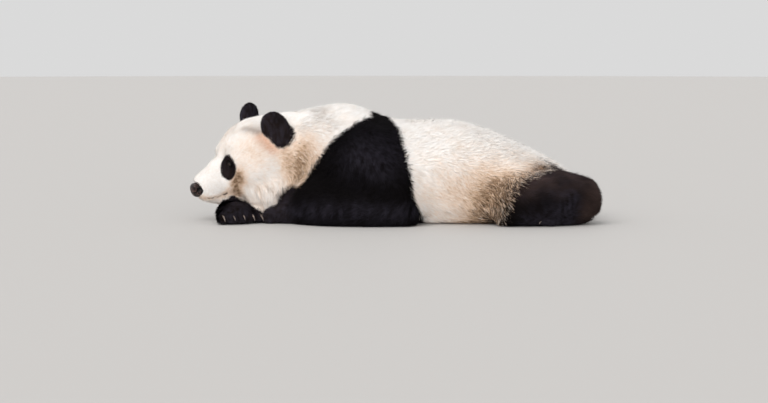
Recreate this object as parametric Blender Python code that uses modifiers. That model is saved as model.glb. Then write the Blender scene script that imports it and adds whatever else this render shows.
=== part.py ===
"""Giant panda lying on its belly with its chin on a forepaw: a life-size still model.

The head points along -X and the left flank faces -Y. The animal lies on the plane z = 0.
The measures below are from the middle of the back; the pieces are centred at the very end.
Lengths are in metres and angles in degrees. Solids reach out to the tips of the coat.

The body is first modelled whole: ellipsoids, tapered limbs and a lofted trunk are fused by
a voxel remesh, smoothed, and thinned to facets. It is then parted with thin cuts into the
pieces that a person would name.
"""

import math

import bmesh
import bpy
import numpy as np
from mathutils import Euler, Matrix, Vector

# ---------------------------------------------------------------- driving dimensions
GAP = 0.0005            # the thin cut between neighbouring pieces
FLESH_DETAIL = 3        # subdivisions of the icosphere behind an ellipsoid of flesh
EYE_DETAIL = 2          # and of the small balls that stay balls
VOXEL = 0.006           # grid of the remesh that fuses the flesh
BODY_FACES = 4000       # facets kept on the fused body
ARM_FACES = 620         # facets kept on the right forearm and paw
PAW_FACES = 340         # facets kept on the left forepaw
SOFT_ROUNDS = 55        # rounds of smoothing where limbs melt into the trunk
HEAD_ROUNDS = 20        # rounds of smoothing for the head
CRISP_ROUNDS = 8        # rounds of smoothing for the ears, the paws and the tail

# Trunk and neck: (x, back height, half width, height of the widest line, underside height)
TRUNK_STATIONS = (
    (-0.47, 0.372, 0.128, 0.225, 0.085),
    (-0.37, 0.397, 0.160, 0.215, 0.062),
    (-0.28, 0.413, 0.200, 0.200, 0.035),
    (-0.185, 0.425, 0.228, 0.195, 0.006),
    (-0.10, 0.399, 0.244, 0.185, -0.014),
    (-0.02, 0.369, 0.252, 0.172, -0.016),
    (0.07, 0.363, 0.260, 0.160, -0.016),
    (0.19, 0.365, 0.274, 0.155, -0.016),
    (0.31, 0.334, 0.276, 0.145, -0.016),
    (0.43, 0.284, 0.256, 0.130, -0.014),
    (0.55, 0.224, 0.212, 0.110, -0.010),
    (0.625, 0.176, 0.160, 0.095, 0.004),
    (0.675, 0.118, 0.090, 0.080, 0.035),
)
TRUNK_RINGS = 34
RING_POINTS = 40
BACK_ROUNDNESS = 2.15   # superellipse powers of a section, above and below its widest line
BELLY_ROUNDNESS = 2.7

# Head, in its own frame: X to the nose, Y to the animal's left, Z up
HEAD_CENTRE = Vector((-0.500, 0.000, 0.235))
HEAD_TURN = 23.0        # the nose turned towards the left flank's side
HEAD_NOD = 10.0         # the nose dropped
HEAD_ROLL = -8.0        # negative drops the left side
SKULL = (
    # centre, radii, turn about Y
    ((-0.006, 0.0, 0.024), (0.157, 0.128, 0.114), 6),     # cranium and forehead
    ((-0.060, 0.0, -0.010), (0.110, 0.130, 0.130), 0),    # nape
    ((0.030, 0.0, -0.095), (0.120, 0.105, 0.075), 0),     # throat
    ((0.080, 0.0, -0.035), (0.084, 0.096, 0.080), 0),     # middle of the face
    ((0.142, 0.0, -0.012), (0.070, 0.040, 0.041), 24),    # bridge of the nose
    ((0.176, 0.0, -0.076), (0.084, 0.062, 0.070), 0),     # muzzle
    ((0.224, 0.0, -0.069), (0.037, 0.043, 0.046), 0),     # end of the muzzle
    ((0.158, 0.0, -0.112), (0.060, 0.048, 0.041), 0),     # lower jaw
)
SKULL_PAIRS = (
    # centre on the left side, radii, turn about Y
    ((0.084, 0.054, 0.014), (0.064, 0.054, 0.056), 0),    # brow and eye socket
    ((0.086, 0.056, -0.064), (0.070, 0.060, 0.066), 0),   # cheek bone
    ((0.010, 0.093, -0.030), (0.118, 0.080, 0.104), 0),   # jaw muscle
    ((0.014, 0.110, -0.110), (0.092, 0.062, 0.108), 8),   # long fur of the cheek
    ((0.184, 0.027, -0.087), (0.056, 0.036, 0.038), 0),   # upper lip
    ((-0.002, 0.150, -0.100), (0.064, 0.052, 0.080), 14),   # the lock that hangs from the cheek
)
EYE_LINE = ((0.060, 0.042, -0.005), (0.93, 0.30, 0.12))   # a point inside the head, and the gaze
EYE_RADIUS = 0.0125
EYE_DEPTH = 0.0085                   # centre of the eye below the tips of the coat
NOSE_PLACE = (0.2455, 0.0, -0.077)
NOSE_RADII = (0.023, 0.038, 0.025)
EAR_PLACE = (-0.030, 0.138, 0.106)
EAR_RADII = (0.050, 0.069, 0.026)    # half width, half height, half thickness
EAR_FACING = (0.55, 0.80, 0.10)      # the way the ear's hollow side looks
FAR_EAR_DROP = 0.007                 # the right ear sits this much lower on the crown
EAR_LEAN = -27.0                     # the ear's top turned backwards in its own plane
EAR_SOCKET = (0.060, 0.079, 0.038)   # the ball that parts an ear and its root from the head

# Legs: (x, y, z, radius) from the joint nearest the trunk outwards
LEFT_UPPER_ARM = ((-0.180, -0.140, 0.240, 0.100), (-0.110, -0.180, 0.200, 0.120),
                  (-0.030, -0.222, 0.130, 0.104), (0.014, -0.240, 0.078, 0.080))
LEFT_FOREARM = ((0.020, -0.246, 0.068, 0.076), (-0.110, -0.256, 0.066, 0.074),
                (-0.240, -0.232, 0.056, 0.066), (-0.335, -0.178, 0.048, 0.056))
RIGHT_UPPER_ARM = ((-0.215, 0.150, 0.235, 0.098), (-0.180, 0.185, 0.190, 0.115),
                   (-0.190, 0.205, 0.120, 0.095), (-0.225, 0.212, 0.074, 0.076))
RIGHT_FOREARM = ((-0.200, 0.214, 0.066, 0.056), (-0.345, 0.165, 0.062, 0.064),
                 (-0.480, 0.070, 0.052, 0.053), (-0.595, -0.080, 0.046, 0.048))
LEFT_THIGH = ((0.430, -0.150, 0.140, 0.100), (0.410, -0.205, 0.110, 0.104),
              (0.400, -0.240, 0.085, 0.086))
LEFT_SHANK = ((0.400, -0.244, 0.082, 0.086), (0.490, -0.236, 0.088, 0.094),
              (0.575, -0.212, 0.092, 0.096), (0.634, -0.192, 0.088, 0.092))
RIGHT_THIGH = ((0.420, 0.150, 0.130, 0.098), (0.400, 0.205, 0.100, 0.098),
               (0.390, 0.245, 0.080, 0.082))
RIGHT_SHANK = ((0.390, 0.248, 0.078, 0.082), (0.470, 0.262, 0.076, 0.082),
               (0.550, 0.262, 0.074, 0.080), (0.610, 0.245, 0.070, 0.076))
MASSES = (
    # centre, radii: flesh and fur that round a folded limb off into one mass
    ((-0.120, -0.160, 0.220), (0.150, 0.100, 0.140)),     # left shoulder
    ((-0.130, -0.200, 0.135), (0.165, 0.100, 0.120)),     # left upper arm against the chest
    ((-0.230, -0.205, 0.085), (0.150, 0.080, 0.080)),     # crook of the left elbow
    ((-0.160, 0.160, 0.220), (0.150, 0.100, 0.135)),      # right shoulder
    ((-0.180, 0.190, 0.125), (0.130, 0.095, 0.115)),      # right upper arm against the chest
    ((0.500, -0.185, 0.100), (0.205, 0.122, 0.104)),      # left thigh and rump
    ((0.480, 0.190, 0.098), (0.190, 0.120, 0.096)),       # right thigh and rump
)
LEFT_WRIST = ((-0.295, -0.200, 0.050, 0.050), (-0.372, -0.148, 0.044, 0.045))
LEG_BEADS = 14          # spheres along each limb, before they are fused

# Paws: where the wrist or heel is, the heading of the toes, and the size of the sole
FOREPAW_LENGTH, FOREPAW_WIDTH, FOREPAW_HEIGHT = 0.156, 0.136, 0.081
HINDPAW_LENGTH, HINDPAW_WIDTH, HINDPAW_HEIGHT = 0.185, 0.116, 0.078
PAWS = {
    # wrist x, y, heading, length, width, height
    "forepaw_left": (-0.330, -0.166, 148.0, FOREPAW_LENGTH, FOREPAW_WIDTH, FOREPAW_HEIGHT),
    "forepaw_right": (-0.604, -0.095, 300.0, FOREPAW_LENGTH, FOREPAW_WIDTH, FOREPAW_HEIGHT),
    "hindpaw_left": (0.652, -0.212, 181.0, HINDPAW_LENGTH, HINDPAW_WIDTH, HINDPAW_HEIGHT),
    "hindpaw_right": (0.640, 0.275, 165.0, HINDPAW_LENGTH, HINDPAW_WIDTH, HINDPAW_HEIGHT),
}
TOES = 5
TOE_FAN = 6.0           # degrees between neighbouring toes
CLAW_LENGTH = 0.030
CLAW_RADIUS = 0.0046
CLAW_SIDES = 5
CLAW_STEPS = 3

TAIL = ((0.590, 0.0, 0.150, 0.038), (0.640, 0.0, 0.128, 0.042), (0.678, 0.0, 0.088, 0.038),
        (0.690, 0.0, 0.056, 0.030))
TAIL_FLATNESS = 0.62    # thickness over width

# Where the body is parted
BEYOND = 0.9            # further out than any part of the animal
LIMB_DEPTH = 0.135      # the inner face of a leg, from the middle plane
LIMB_OUTLINES = {
    # the leg's outline in x and z, seen from its own side, and the side it is on
    "foreleg_left": (((-0.415, -0.05), (-0.415, 0.120), (-0.300, 0.215), (-0.190, 0.320),
                      (-0.140, 0.345), (-0.045, 0.345), (0.010, 0.240), (0.120, -0.05)), -1),
    "foreleg_right": (((-0.350, -0.05), (-0.350, 0.150), (-0.230, 0.330), (-0.180, 0.350),
                       (-0.080, 0.350), (-0.030, 0.240), (-0.030, -0.05)), 1),
    "hindleg_left": (((0.270, -0.05), (0.310, 0.120), (0.400, 0.200), (0.480, 0.225),
                      (0.850, 0.235), (0.850, -0.05)), -1),
    "hindleg_right": (((0.255, -0.05), (0.290, 0.110), (0.380, 0.185), (0.460, 0.205),
                       (0.850, 0.215), (0.850, -0.05)), 1),
}
# Blocks: centre and size, each in the frame of its own piece
HEAD_CUT = (-0.395, 0.0, 0.300)
HEAD_CUT_TURN = 12.0
HEAD_CUT_LEAN = -8.0
HEAD_BLOCK = ((0.40, 0.0, 0.0), (0.80, 0.80, 0.80))
NECK_BLOCK = ((-0.67, 0.0, 0.25), (0.80, 0.80, 0.60))
TAIL_CUT = (0.652, 0.0, 0.112)
TAIL_DROP = 32.0
TAIL_BLOCK = ((0.10, 0.0, 0.0), (0.20, 0.12, 0.26))

MATERIALS = {
    # colour, roughness, metallic
    "white_coat": ((0.86, 0.80, 0.70), 0.85, 0.0),
    "black_coat": ((0.018, 0.016, 0.017), 0.80, 0.0),
    "nose_leather": ((0.020, 0.016, 0.016), 0.45, 0.0),
    "eye_brown": ((0.030, 0.014, 0.008), 0.08, 0.0),
}


# ---------------------------------------------------------------- scene helpers
def clear_scene():
    for obj in list(bpy.data.objects):
        bpy.data.objects.remove(obj)


def new_collection(name):
    made = bpy.data.collections.new(name)
    bpy.context.scene.collection.children.link(made)


def panda():
    return bpy.data.collections["giant_panda"]


def cutters():
    return bpy.data.collections["cutters"]


def make_material(name):
    colour, roughness, metallic = MATERIALS[name]
    material = bpy.data.materials.new(name)
    material.use_nodes = True
    shader = material.node_tree.nodes["Principled BSDF"]
    shader.inputs["Base Color"].default_value = (*colour, 1.0)
    shader.inputs["Roughness"].default_value = roughness
    shader.inputs["Metallic"].default_value = metallic


def painted(obj, material):
    obj.data.materials.clear()
    obj.data.materials.append(bpy.data.materials[material])
    return obj


def object_from(bm, name, collection):
    """A mesh object from a bmesh, which is freed."""
    mesh = bpy.data.meshes.new(name)
    bm.to_mesh(mesh)
    bm.free()
    obj = bpy.data.objects.new(name, mesh)
    collection.objects.link(obj)
    return obj


def as_helper(obj):
    """A cutter or a guide, which is no part of the panda."""
    obj.hide_render = True
    obj.display_type = "WIRE"
    return obj


def helper_from(bm, name):
    return as_helper(object_from(bm, name + "_cutter", cutters()))


def baked(obj):
    """Replaces the object's mesh by what its modifiers make of it."""
    graph = bpy.context.evaluated_depsgraph_get()
    graph.update()
    made = bpy.data.meshes.new_from_object(obj.evaluated_get(graph), depsgraph=graph)
    obj.modifiers.clear()
    obj.data = made
    return obj


def boolean(obj, operation, other):
    cut = obj.modifiers.new(operation.lower(), "BOOLEAN")
    cut.operation = operation
    cut.object = other
    return baked(obj)


# ---------------------------------------------------------------- shapes of the flesh
def unit_sphere(detail):
    """A sphere of radius 1, made once and copied for every ellipsoid."""
    name = f"unit_sphere_{detail}"
    if name not in bpy.data.meshes:
        bm = bmesh.new()
        bmesh.ops.create_icosphere(bm, subdivisions=detail, radius=1.0)
        bm.to_mesh(bpy.data.meshes.new(name))
        bm.free()
    return bpy.data.meshes[name]


def add_ellipsoid(bm, centre, radii, turn=None, detail=FLESH_DETAIL):
    """A sphere with three radii, turned by a rotation matrix."""
    turn = turn or Matrix.Identity(3)
    mesh = unit_sphere(detail).copy()
    mesh.transform(Matrix.LocRotScale(Vector(centre), turn.to_quaternion(), Vector(radii)))
    bm.from_mesh(mesh)
    bpy.data.meshes.remove(mesh)


def smooth_between(rows, count):
    """Rows of numbers resampled on a Catmull-Rom curve through them."""
    rows = np.array(rows, float)
    padded = np.vstack([2 * rows[0] - rows[1], rows, 2 * rows[-1] - rows[-2]])
    made = []
    for at in np.linspace(0, len(rows) - 1, count):
        i = min(int(at), len(rows) - 2)
        t = at - i
        a, b, c, d = padded[i:i + 4]
        made.append(0.5 * (2 * b + (c - a) * t + (2 * a - 5 * b + 4 * c - d) * t ** 2
                           + (3 * b - a - 3 * c + d) * t ** 3))
    return np.array(made)


def add_limb(bm, joints, flatness=1.0):
    """Overlapping spheres along a limb. flatness squeezes them along the limb's own front."""
    for x, y, z, radius in smooth_between(joints, LEG_BEADS):
        add_ellipsoid(bm, (x, y, z), (radius * flatness, radius, radius))


def add_trunk(bm):
    """A loft of superellipse sections from the nape to the rump."""
    rings = []
    for x, back, half_width, widest, under in smooth_between(TRUNK_STATIONS, TRUNK_RINGS):
        ring = []
        for step in range(RING_POINTS):
            angle = 2 * math.pi * step / RING_POINTS
            cos, sin = math.cos(angle), math.sin(angle)
            power = 2 / (BACK_ROUNDNESS if sin >= 0 else BELLY_ROUNDNESS)
            height = back - widest if sin >= 0 else widest - under
            y = half_width * math.copysign(abs(cos) ** power, cos)
            z = widest + height * math.copysign(abs(sin) ** power, sin)
            ring.append(bm.verts.new((x, y, z)))
        rings.append(ring)
    for ring, following in zip(rings, rings[1:]):
        for i in range(RING_POINTS):
            j = (i + 1) % RING_POINTS
            bm.faces.new((ring[i], following[i], following[j], ring[j]))
    bm.faces.new(rings[0])
    bm.faces.new(reversed(rings[-1]))


def head_matrix():
    """The head's frame in the world. The head looks along -X, so its frame is half a turn round."""
    turn = Euler((math.radians(HEAD_ROLL), math.radians(HEAD_NOD), 0.0)).to_matrix()
    yaw = Matrix.Rotation(math.radians(180.0 + HEAD_TURN), 3, "Z")
    return Matrix.Translation(HEAD_CENTRE) @ (yaw @ turn).to_4x4()


def in_head(point):
    return head_matrix() @ Vector(point)


def add_head(bm):
    frame = head_matrix().to_3x3()
    for centre, radii, nod in SKULL:
        turn = frame @ Matrix.Rotation(math.radians(nod), 3, "Y")
        add_ellipsoid(bm, in_head(centre), radii, turn)
    for centre, radii, nod in SKULL_PAIRS:
        turn = frame @ Matrix.Rotation(math.radians(nod), 3, "Y")
        for side in (1, -1):
            place = (centre[0], centre[1] * side, centre[2])
            add_ellipsoid(bm, in_head(place), radii, turn)


def ear_matrix(side):
    """The ear's frame: X along its width, Y to its top, Z the way its hollow looks."""
    facing = Vector((EAR_FACING[0], EAR_FACING[1] * side, EAR_FACING[2])).normalized()
    top = (Vector((0, 0, 1)) - facing * facing.z).normalized()
    width = top.cross(facing)
    turn = Matrix((width, top, facing)).transposed()
    lean = Matrix.Rotation(math.radians(EAR_LEAN) * side * -1, 3, "Z")
    drop = FAR_EAR_DROP if side < 0 else 0.0
    local = Matrix.Translation((EAR_PLACE[0], EAR_PLACE[1] * side, EAR_PLACE[2] - drop))
    return head_matrix() @ local @ (turn @ lean).to_4x4()


def add_ear(bm, side):
    place = ear_matrix(side)
    add_ellipsoid(bm, place.translation, EAR_RADII, place.to_3x3())
    root = place @ Vector((0.0, -EAR_RADII[1] * 0.62, -EAR_RADII[2] * 0.3))
    add_ellipsoid(bm, root, (EAR_RADII[0] * 0.92, EAR_RADII[1] * 0.5, EAR_RADII[2] * 1.1),
                  place.to_3x3())


def paw_points(paw):
    """For each toe: where it leaves the palm, its tip, and the way it points."""
    x, y, heading, length, width, height = PAWS[paw]
    toes = []
    for number in range(TOES):
        spread = number - (TOES - 1) / 2
        angle = math.radians(heading + spread * TOE_FAN)
        across = math.radians(heading + 90)
        reach = length * (0.84 - 0.030 * spread ** 2)
        way = Vector((math.cos(angle), math.sin(angle), 0))
        side = Vector((math.cos(across), math.sin(across), 0)) * spread * width * 0.175
        knuckle = Vector((x, y, height * 0.40)) + way * reach * 0.72 + side
        tip = Vector((x, y, height * 0.29)) + way * reach + side
        toes.append((knuckle, tip, way))
    return toes


def add_paw(bm, paw):
    x, y, heading, length, width, height = PAWS[paw]
    turn = Matrix.Rotation(math.radians(heading), 3, "Z")
    way = turn @ Vector((1, 0, 0))
    palm = Vector((x, y, height * 0.45)) + way * length * 0.40
    add_ellipsoid(bm, palm, (length * 0.50, width * 0.50, height * 0.56), turn)
    for knuckle, tip, toe_way in paw_points(paw):
        middle = (knuckle + tip) / 2
        toe_turn = Vector((1, 0, 0)).rotation_difference(toe_way).to_matrix()
        add_ellipsoid(bm, middle, (length * 0.20, width * 0.145, height * 0.36), toe_turn)


def add_claw(bm, tip, way):
    """A curved, tapering claw: rings of CLAW_SIDES points along a falling arc, and a point."""
    across = way.cross(Vector((0, 0, 1))).normalized()
    rings = []
    for step in range(CLAW_STEPS):
        share = step / CLAW_STEPS
        droop = 0.2 - 1.0 * share ** 2
        middle = tip + way * (CLAW_LENGTH * share - 0.012) + Vector((0, 0, droop * 0.012))
        radius = CLAW_RADIUS * (1 - 0.75 * share)
        ring = []
        for side in range(CLAW_SIDES):
            angle = 2 * math.pi * side / CLAW_SIDES
            offset = across * math.cos(angle) * 0.8 + Vector((0, 0, 1)) * math.sin(angle) * 1.15
            ring.append(bm.verts.new(middle + offset * radius))
        rings.append(ring)
    point = bm.verts.new(tip + way * (CLAW_LENGTH - 0.012) - Vector((0, 0, 0.011)))
    for ring, following in zip(rings, rings[1:]):
        for i in range(CLAW_SIDES):
            j = (i + 1) % CLAW_SIDES
            bm.faces.new((ring[i], ring[j], following[j], following[i]))
    for i in range(CLAW_SIDES):
        bm.faces.new((rings[-1][i], rings[-1][(i + 1) % CLAW_SIDES], point))
    bm.faces.new(reversed(rings[0]))


def fused(name, stages, faces):
    """One closed, faceted body. Each stage adds overlapping shapes, fuses and smooths them."""
    obj = object_from(bmesh.new(), name, panda())
    for build, rounds in stages:
        bm = bmesh.new()
        bm.from_mesh(obj.data)
        build(bm)
        bm.to_mesh(obj.data)
        bm.free()
        remesh = obj.modifiers.new("fuse", "REMESH")
        remesh.mode = "VOXEL"
        remesh.voxel_size = VOXEL
        smooth = obj.modifiers.new("soften", "SMOOTH")
        smooth.factor = 0.5
        smooth.iterations = rounds
        baked(obj)
    triangles = sum(len(p.vertices) - 2 for p in obj.data.polygons)
    thin = obj.modifiers.new("thin", "DECIMATE")
    thin.ratio = faces / triangles
    thin.use_collapse_triangulate = True
    return baked(obj)


def build_masses(bm):
    add_trunk(bm)
    for joints in (LEFT_UPPER_ARM, LEFT_FOREARM, RIGHT_UPPER_ARM,
                   LEFT_THIGH, LEFT_SHANK, RIGHT_THIGH, RIGHT_SHANK):
        add_limb(bm, joints)
    for centre, radii in MASSES:
        add_ellipsoid(bm, centre, radii)


def build_features(bm):
    for side in (1, -1):
        add_ear(bm, side)
    add_limb(bm, TAIL, TAIL_FLATNESS)
    for paw in ("hindpaw_left", "hindpaw_right"):
        add_paw(bm, paw)


def build_left_paw(bm):
    add_limb(bm, LEFT_WRIST)
    add_paw(bm, "forepaw_left")


def build_right_forearm(bm):
    add_limb(bm, RIGHT_FOREARM)
    add_paw(bm, "forepaw_right")


# ---------------------------------------------------------------- parting the body
def block(name, centre, size, frame=None, grow=0.0):
    """A box in a frame, each side moved out by grow."""
    bm = bmesh.new()
    sides = Vector(size) + Vector((2 * grow,) * 3)
    place = (frame or Matrix.Identity(4)) @ Matrix.LocRotScale(Vector(centre), None, sides)
    bmesh.ops.create_cube(bm, size=1.0, matrix=place)
    return helper_from(bm, name)


def ball(name, centre, radii, turn, grow=0.0):
    bm = bmesh.new()
    add_ellipsoid(bm, centre, [radius + grow for radius in radii], turn, EYE_DETAIL)
    return helper_from(bm, name)


def slab(name, outline, side, grow=0.0):
    """A prism: a side outline in x and z, running outwards from LIMB_DEPTH on one side."""
    middle = Vector((sum(x for x, z in outline), sum(z for x, z in outline))) / len(outline)
    bm = bmesh.new()
    rings = []
    for depth in (LIMB_DEPTH - grow, BEYOND):
        ring = []
        for x, z in outline:
            away = (Vector((x, z)) - middle).normalized() * grow * 1.5
            ring.append(bm.verts.new((x + away.x, side * depth, z + away.y)))
        rings.append(ring)
    for i in range(len(outline)):
        j = (i + 1) % len(outline)
        bm.faces.new((rings[0][i], rings[0][j], rings[1][j], rings[1][i]))
    bm.faces.new(rings[0])
    bm.faces.new(rings[1])
    bmesh.ops.recalc_face_normals(bm, faces=bm.faces)
    return helper_from(bm, name)


def shell_of(obj, name):
    """A copy of a solid, grown by the gap: the hole that its neighbour needs."""
    copy = as_helper(bpy.data.objects.new(name, obj.data.copy()))
    cutters().objects.link(copy)
    grow = copy.modifiers.new("grow", "DISPLACE")
    grow.strength = GAP
    grow.mid_level = 0.0
    return baked(copy)


def part_off(body, name, material, region):
    """Splits a named piece from the body. region(grow) makes the cutter for it."""
    piece = bpy.data.objects.new(name, body.data.copy())
    panda().objects.link(piece)
    boolean(piece, "INTERSECT", region(0.0))
    boolean(body, "DIFFERENCE", region(GAP))
    return painted(piece, material)


def add_claws(obj, paw):
    bm = bmesh.new()
    for knuckle, tip, way in paw_points(paw):
        add_claw(bm, tip, way)
    bmesh.ops.recalc_face_normals(bm, faces=bm.faces)
    boolean(obj, "UNION", helper_from(bm, paw + "_claws"))


def eye_centre(body, side):
    """Follows the gaze outwards to the tips of the coat, then steps back inside."""
    start, gaze = EYE_LINE
    start = in_head((start[0], start[1] * side, start[2]))
    gaze = head_matrix().to_3x3() @ Vector((gaze[0], gaze[1] * side, gaze[2])).normalized()
    hit, place, normal, index = body.ray_cast(start, gaze)
    if not hit:
        raise RuntimeError("the gaze never leaves the head")
    return place - gaze * EYE_DEPTH


def centre_on_origin(pieces):
    """Moves the meshes so that the middle of the animal's outline stands over the origin."""
    corners = np.array([vertex.co for piece in pieces for vertex in piece.data.vertices])
    middle = (corners.min(0) + corners.max(0)) / 2
    for piece in pieces:
        piece.data.transform(Matrix.Translation((-middle[0], -middle[1], 0.0)))


def main():
    clear_scene()
    new_collection("giant_panda")
    new_collection("cutters")
    for name in MATERIALS:
        make_material(name)

    body = fused("trunk", ((build_masses, SOFT_ROUNDS), (add_head, HEAD_ROUNDS),
                           (build_features, CRISP_ROUNDS)), BODY_FACES)
    left_paw = fused("left_paw", ((build_left_paw, CRISP_ROUNDS),), PAW_FACES)
    right_arm = fused("right_arm", ((build_right_forearm, CRISP_ROUNDS),), ARM_FACES)
    painted(body, "white_coat")

    # The legs first, because a forearm and both forepaws lie under the head
    legs = {}
    for name, (outline, side) in LIMB_OUTLINES.items():
        legs[name] = part_off(body, name, "black_coat",
                              lambda grow: slab(name, outline, side, grow))
    for name, lower, paw in (("foreleg_left", left_paw, "forepaw_left"),
                             ("foreleg_right", right_arm, "forepaw_right")):
        add_claws(lower, paw)
        boolean(body, "DIFFERENCE", shell_of(lower, name + "_hole"))
        boolean(legs[name], "UNION", as_helper(lower))
    for name, paw in (("hindleg_left", "hindpaw_left"), ("hindleg_right", "hindpaw_right")):
        add_claws(legs[name], paw)

    # Eyes and nose are whole balls set into the head
    face = {}
    for name, side in (("eye_left", 1), ("eye_right", -1)):
        face[name] = (eye_centre(body, side), (EYE_RADIUS,) * 3, "eye_brown")
    face["nose"] = (in_head(NOSE_PLACE), NOSE_RADII, "nose_leather")
    turn = head_matrix().to_3x3()
    for name, (centre, radii, material) in face.items():
        boolean(body, "DIFFERENCE", ball(name + "_hole", centre, radii, turn, GAP))
        bm = bmesh.new()
        add_ellipsoid(bm, centre, radii, turn, EYE_DETAIL)
        painted(object_from(bm, name, panda()), material)

    for name, side in (("ear_left", 1), ("ear_right", -1)):
        part_off(body, name, "black_coat",
                 lambda grow: ball(name, ear_matrix(side).translation, EAR_SOCKET,
                                   ear_matrix(side).to_3x3(), grow))
    nape = Matrix.Translation(HEAD_CUT) @ Euler(
        (0.0, math.radians(HEAD_CUT_LEAN), math.radians(180.0 + HEAD_CUT_TURN))).to_matrix().to_4x4()
    part_off(body, "head", "white_coat",
             lambda grow: block("head", HEAD_BLOCK[0], HEAD_BLOCK[1], nape, grow))
    part_off(body, "neck", "white_coat",
             lambda grow: block("neck", NECK_BLOCK[0], NECK_BLOCK[1], None, grow))
    tail_frame = Matrix.Translation(TAIL_CUT) @ Matrix.Rotation(math.radians(TAIL_DROP), 4, "Y")
    part_off(body, "tail", "white_coat",
             lambda grow: block("tail", TAIL_BLOCK[0], TAIL_BLOCK[1], tail_frame, grow))

    floor = block("floor", (0, 0, -BEYOND / 2), (4 * BEYOND, 4 * BEYOND, BEYOND))
    for piece in panda().objects:
        boolean(piece, "DIFFERENCE", floor)
        for polygon in piece.data.polygons:
            polygon.use_smooth = piece.name in face
    centre_on_origin(panda().objects)


main()
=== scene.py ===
"""Giant panda lying on its belly with its chin on a forepaw: skin, coat, face and stage."""
import math

import bmesh
import bpy
import numpy as np
from bpy.props import FloatProperty, FloatVectorProperty, IntProperty, PointerProperty, StringProperty
from mathutils import Euler, Matrix, Vector
from mathutils.bvhtree import BVHTree


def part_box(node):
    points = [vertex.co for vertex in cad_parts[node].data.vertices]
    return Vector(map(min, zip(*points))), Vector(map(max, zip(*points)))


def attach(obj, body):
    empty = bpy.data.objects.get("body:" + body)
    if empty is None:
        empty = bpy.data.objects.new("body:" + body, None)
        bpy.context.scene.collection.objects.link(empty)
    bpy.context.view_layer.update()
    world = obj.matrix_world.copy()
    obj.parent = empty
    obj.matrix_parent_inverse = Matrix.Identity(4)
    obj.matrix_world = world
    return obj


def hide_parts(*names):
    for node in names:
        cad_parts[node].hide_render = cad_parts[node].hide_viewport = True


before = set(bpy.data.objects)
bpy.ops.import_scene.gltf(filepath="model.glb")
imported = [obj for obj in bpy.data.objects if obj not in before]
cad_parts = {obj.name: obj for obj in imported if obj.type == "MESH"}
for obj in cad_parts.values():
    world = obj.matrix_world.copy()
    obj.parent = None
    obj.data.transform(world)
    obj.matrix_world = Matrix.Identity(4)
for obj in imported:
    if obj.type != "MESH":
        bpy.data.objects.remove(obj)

bl_info = {
    "name": "Giant Panda",
    "version": (1, 0, 0),
    "blender": (4, 5, 0),
    "location": "3D View > Sidebar > Panda",
    "description": "Skin, coat, face and stage of a lying giant panda",
    "category": "Object",
}

FLESH = ("trunk", "neck", "head", "tail", "ear_left", "ear_right", "foreleg_left",
         "foreleg_right", "hindleg_left", "hindleg_right")
LABEL = {name: number for number, name in enumerate(FLESH)}
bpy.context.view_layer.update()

# The head's own frame: X to the nose, Y to the animal's left, Z up. Metres and degrees.
HEAD_TURN, HEAD_NOD, HEAD_ROLL = 23.0, 10.0, -8.0
HEAD_CENTRE = Vector((-0.500, 0.000, 0.235))
NOSE_PLACE = Vector((0.2455, 0.0, -0.077))
NOSE_RADII = Vector((0.023, 0.038, 0.025))
PAD_PLACE = Vector((0.2425, 0.0, -0.0820))     # the bare pad, a little low on its solid
EAR_PLACE = Vector((-0.030, 0.138, 0.106))
EAR_RADII = Vector((0.050, 0.069, 0.026))
EAR_FACING = Vector((0.55, 0.80, 0.10))
EAR_LEAN = -27.0
FAR_EAR_DROP = 0.007    # the right ear sits this much lower on the crown
GAZE = Vector((0.93, 0.30, 0.12))
EYE_SUNK = 0.0085       # how much deeper an eyeball sits than the ball that stands for it
SOCKET_DEPTH = 0.0045   # how much the skin gives way round it
MOUTH = ((0.248, 0.000, -0.112), (0.237, 0.027, -0.111), (0.209, 0.045, -0.114),
         (0.180, 0.053, -0.110), (0.155, 0.059, -0.101), (0.144, 0.063, -0.092))
EAR_ROOT = ((0.018, 0.105, 0.096), (0.004, 0.131, 0.070), (-0.010, 0.148, 0.050))
UNDER_EYE_SHADE = ((0.121, 0.110, -0.046), (0.128, 0.101, -0.060), (0.130, 0.094, -0.086),
        (0.130, 0.088, -0.118))                             # painted shade below an eye, where muzzle and cheek hair meet
# An eyelid's section, as distance from the middle of the opening and from the eye's centre
LID_PROFILE = ((1.00, 1.02), (1.00, 1.10), (1.16, 1.17), (1.6, 1.17), (2.1, 1.12), (2.1, 1.01),
               (1.5, 1.01))
LID_STEPS = 72
LID_TILT = 14.0         # degrees by which the opening slants down and outwards
TEMPLE = ((0.055, 0.045, 0.126), (0.018, 0.088, 0.112))     # the shadow in front of an ear

# The middle lines of the limbs, from the trunk outwards
LIMBS = {
    "foreleg_left": (((-0.180, -0.140, 0.240), (-0.110, -0.180, 0.200), (-0.030, -0.222, 0.130),
                      (0.014, -0.240, 0.078)),
                     ((0.020, -0.246, 0.068), (-0.110, -0.256, 0.066), (-0.240, -0.232, 0.056),
                      (-0.335, -0.178, 0.048), (-0.445, -0.100, 0.038))),
    "foreleg_right": (((-0.215, 0.150, 0.235), (-0.180, 0.185, 0.190), (-0.190, 0.205, 0.120),
                       (-0.225, 0.212, 0.074)),
                      ((-0.200, 0.214, 0.066), (-0.345, 0.165, 0.062), (-0.480, 0.070, 0.052),
                       (-0.600, -0.085, 0.046), (-0.530, -0.220, 0.036))),
    "hindleg_left": (((0.430, -0.150, 0.140), (0.400, -0.240, 0.085)),
                     ((0.400, -0.244, 0.082), (0.580, -0.212, 0.092), (0.690, -0.190, 0.088))),
    "hindleg_right": (((0.420, 0.150, 0.130), (0.390, 0.245, 0.080)),
                      ((0.390, 0.248, 0.078), (0.550, 0.262, 0.074), (0.640, 0.245, 0.070))),
}
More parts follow.
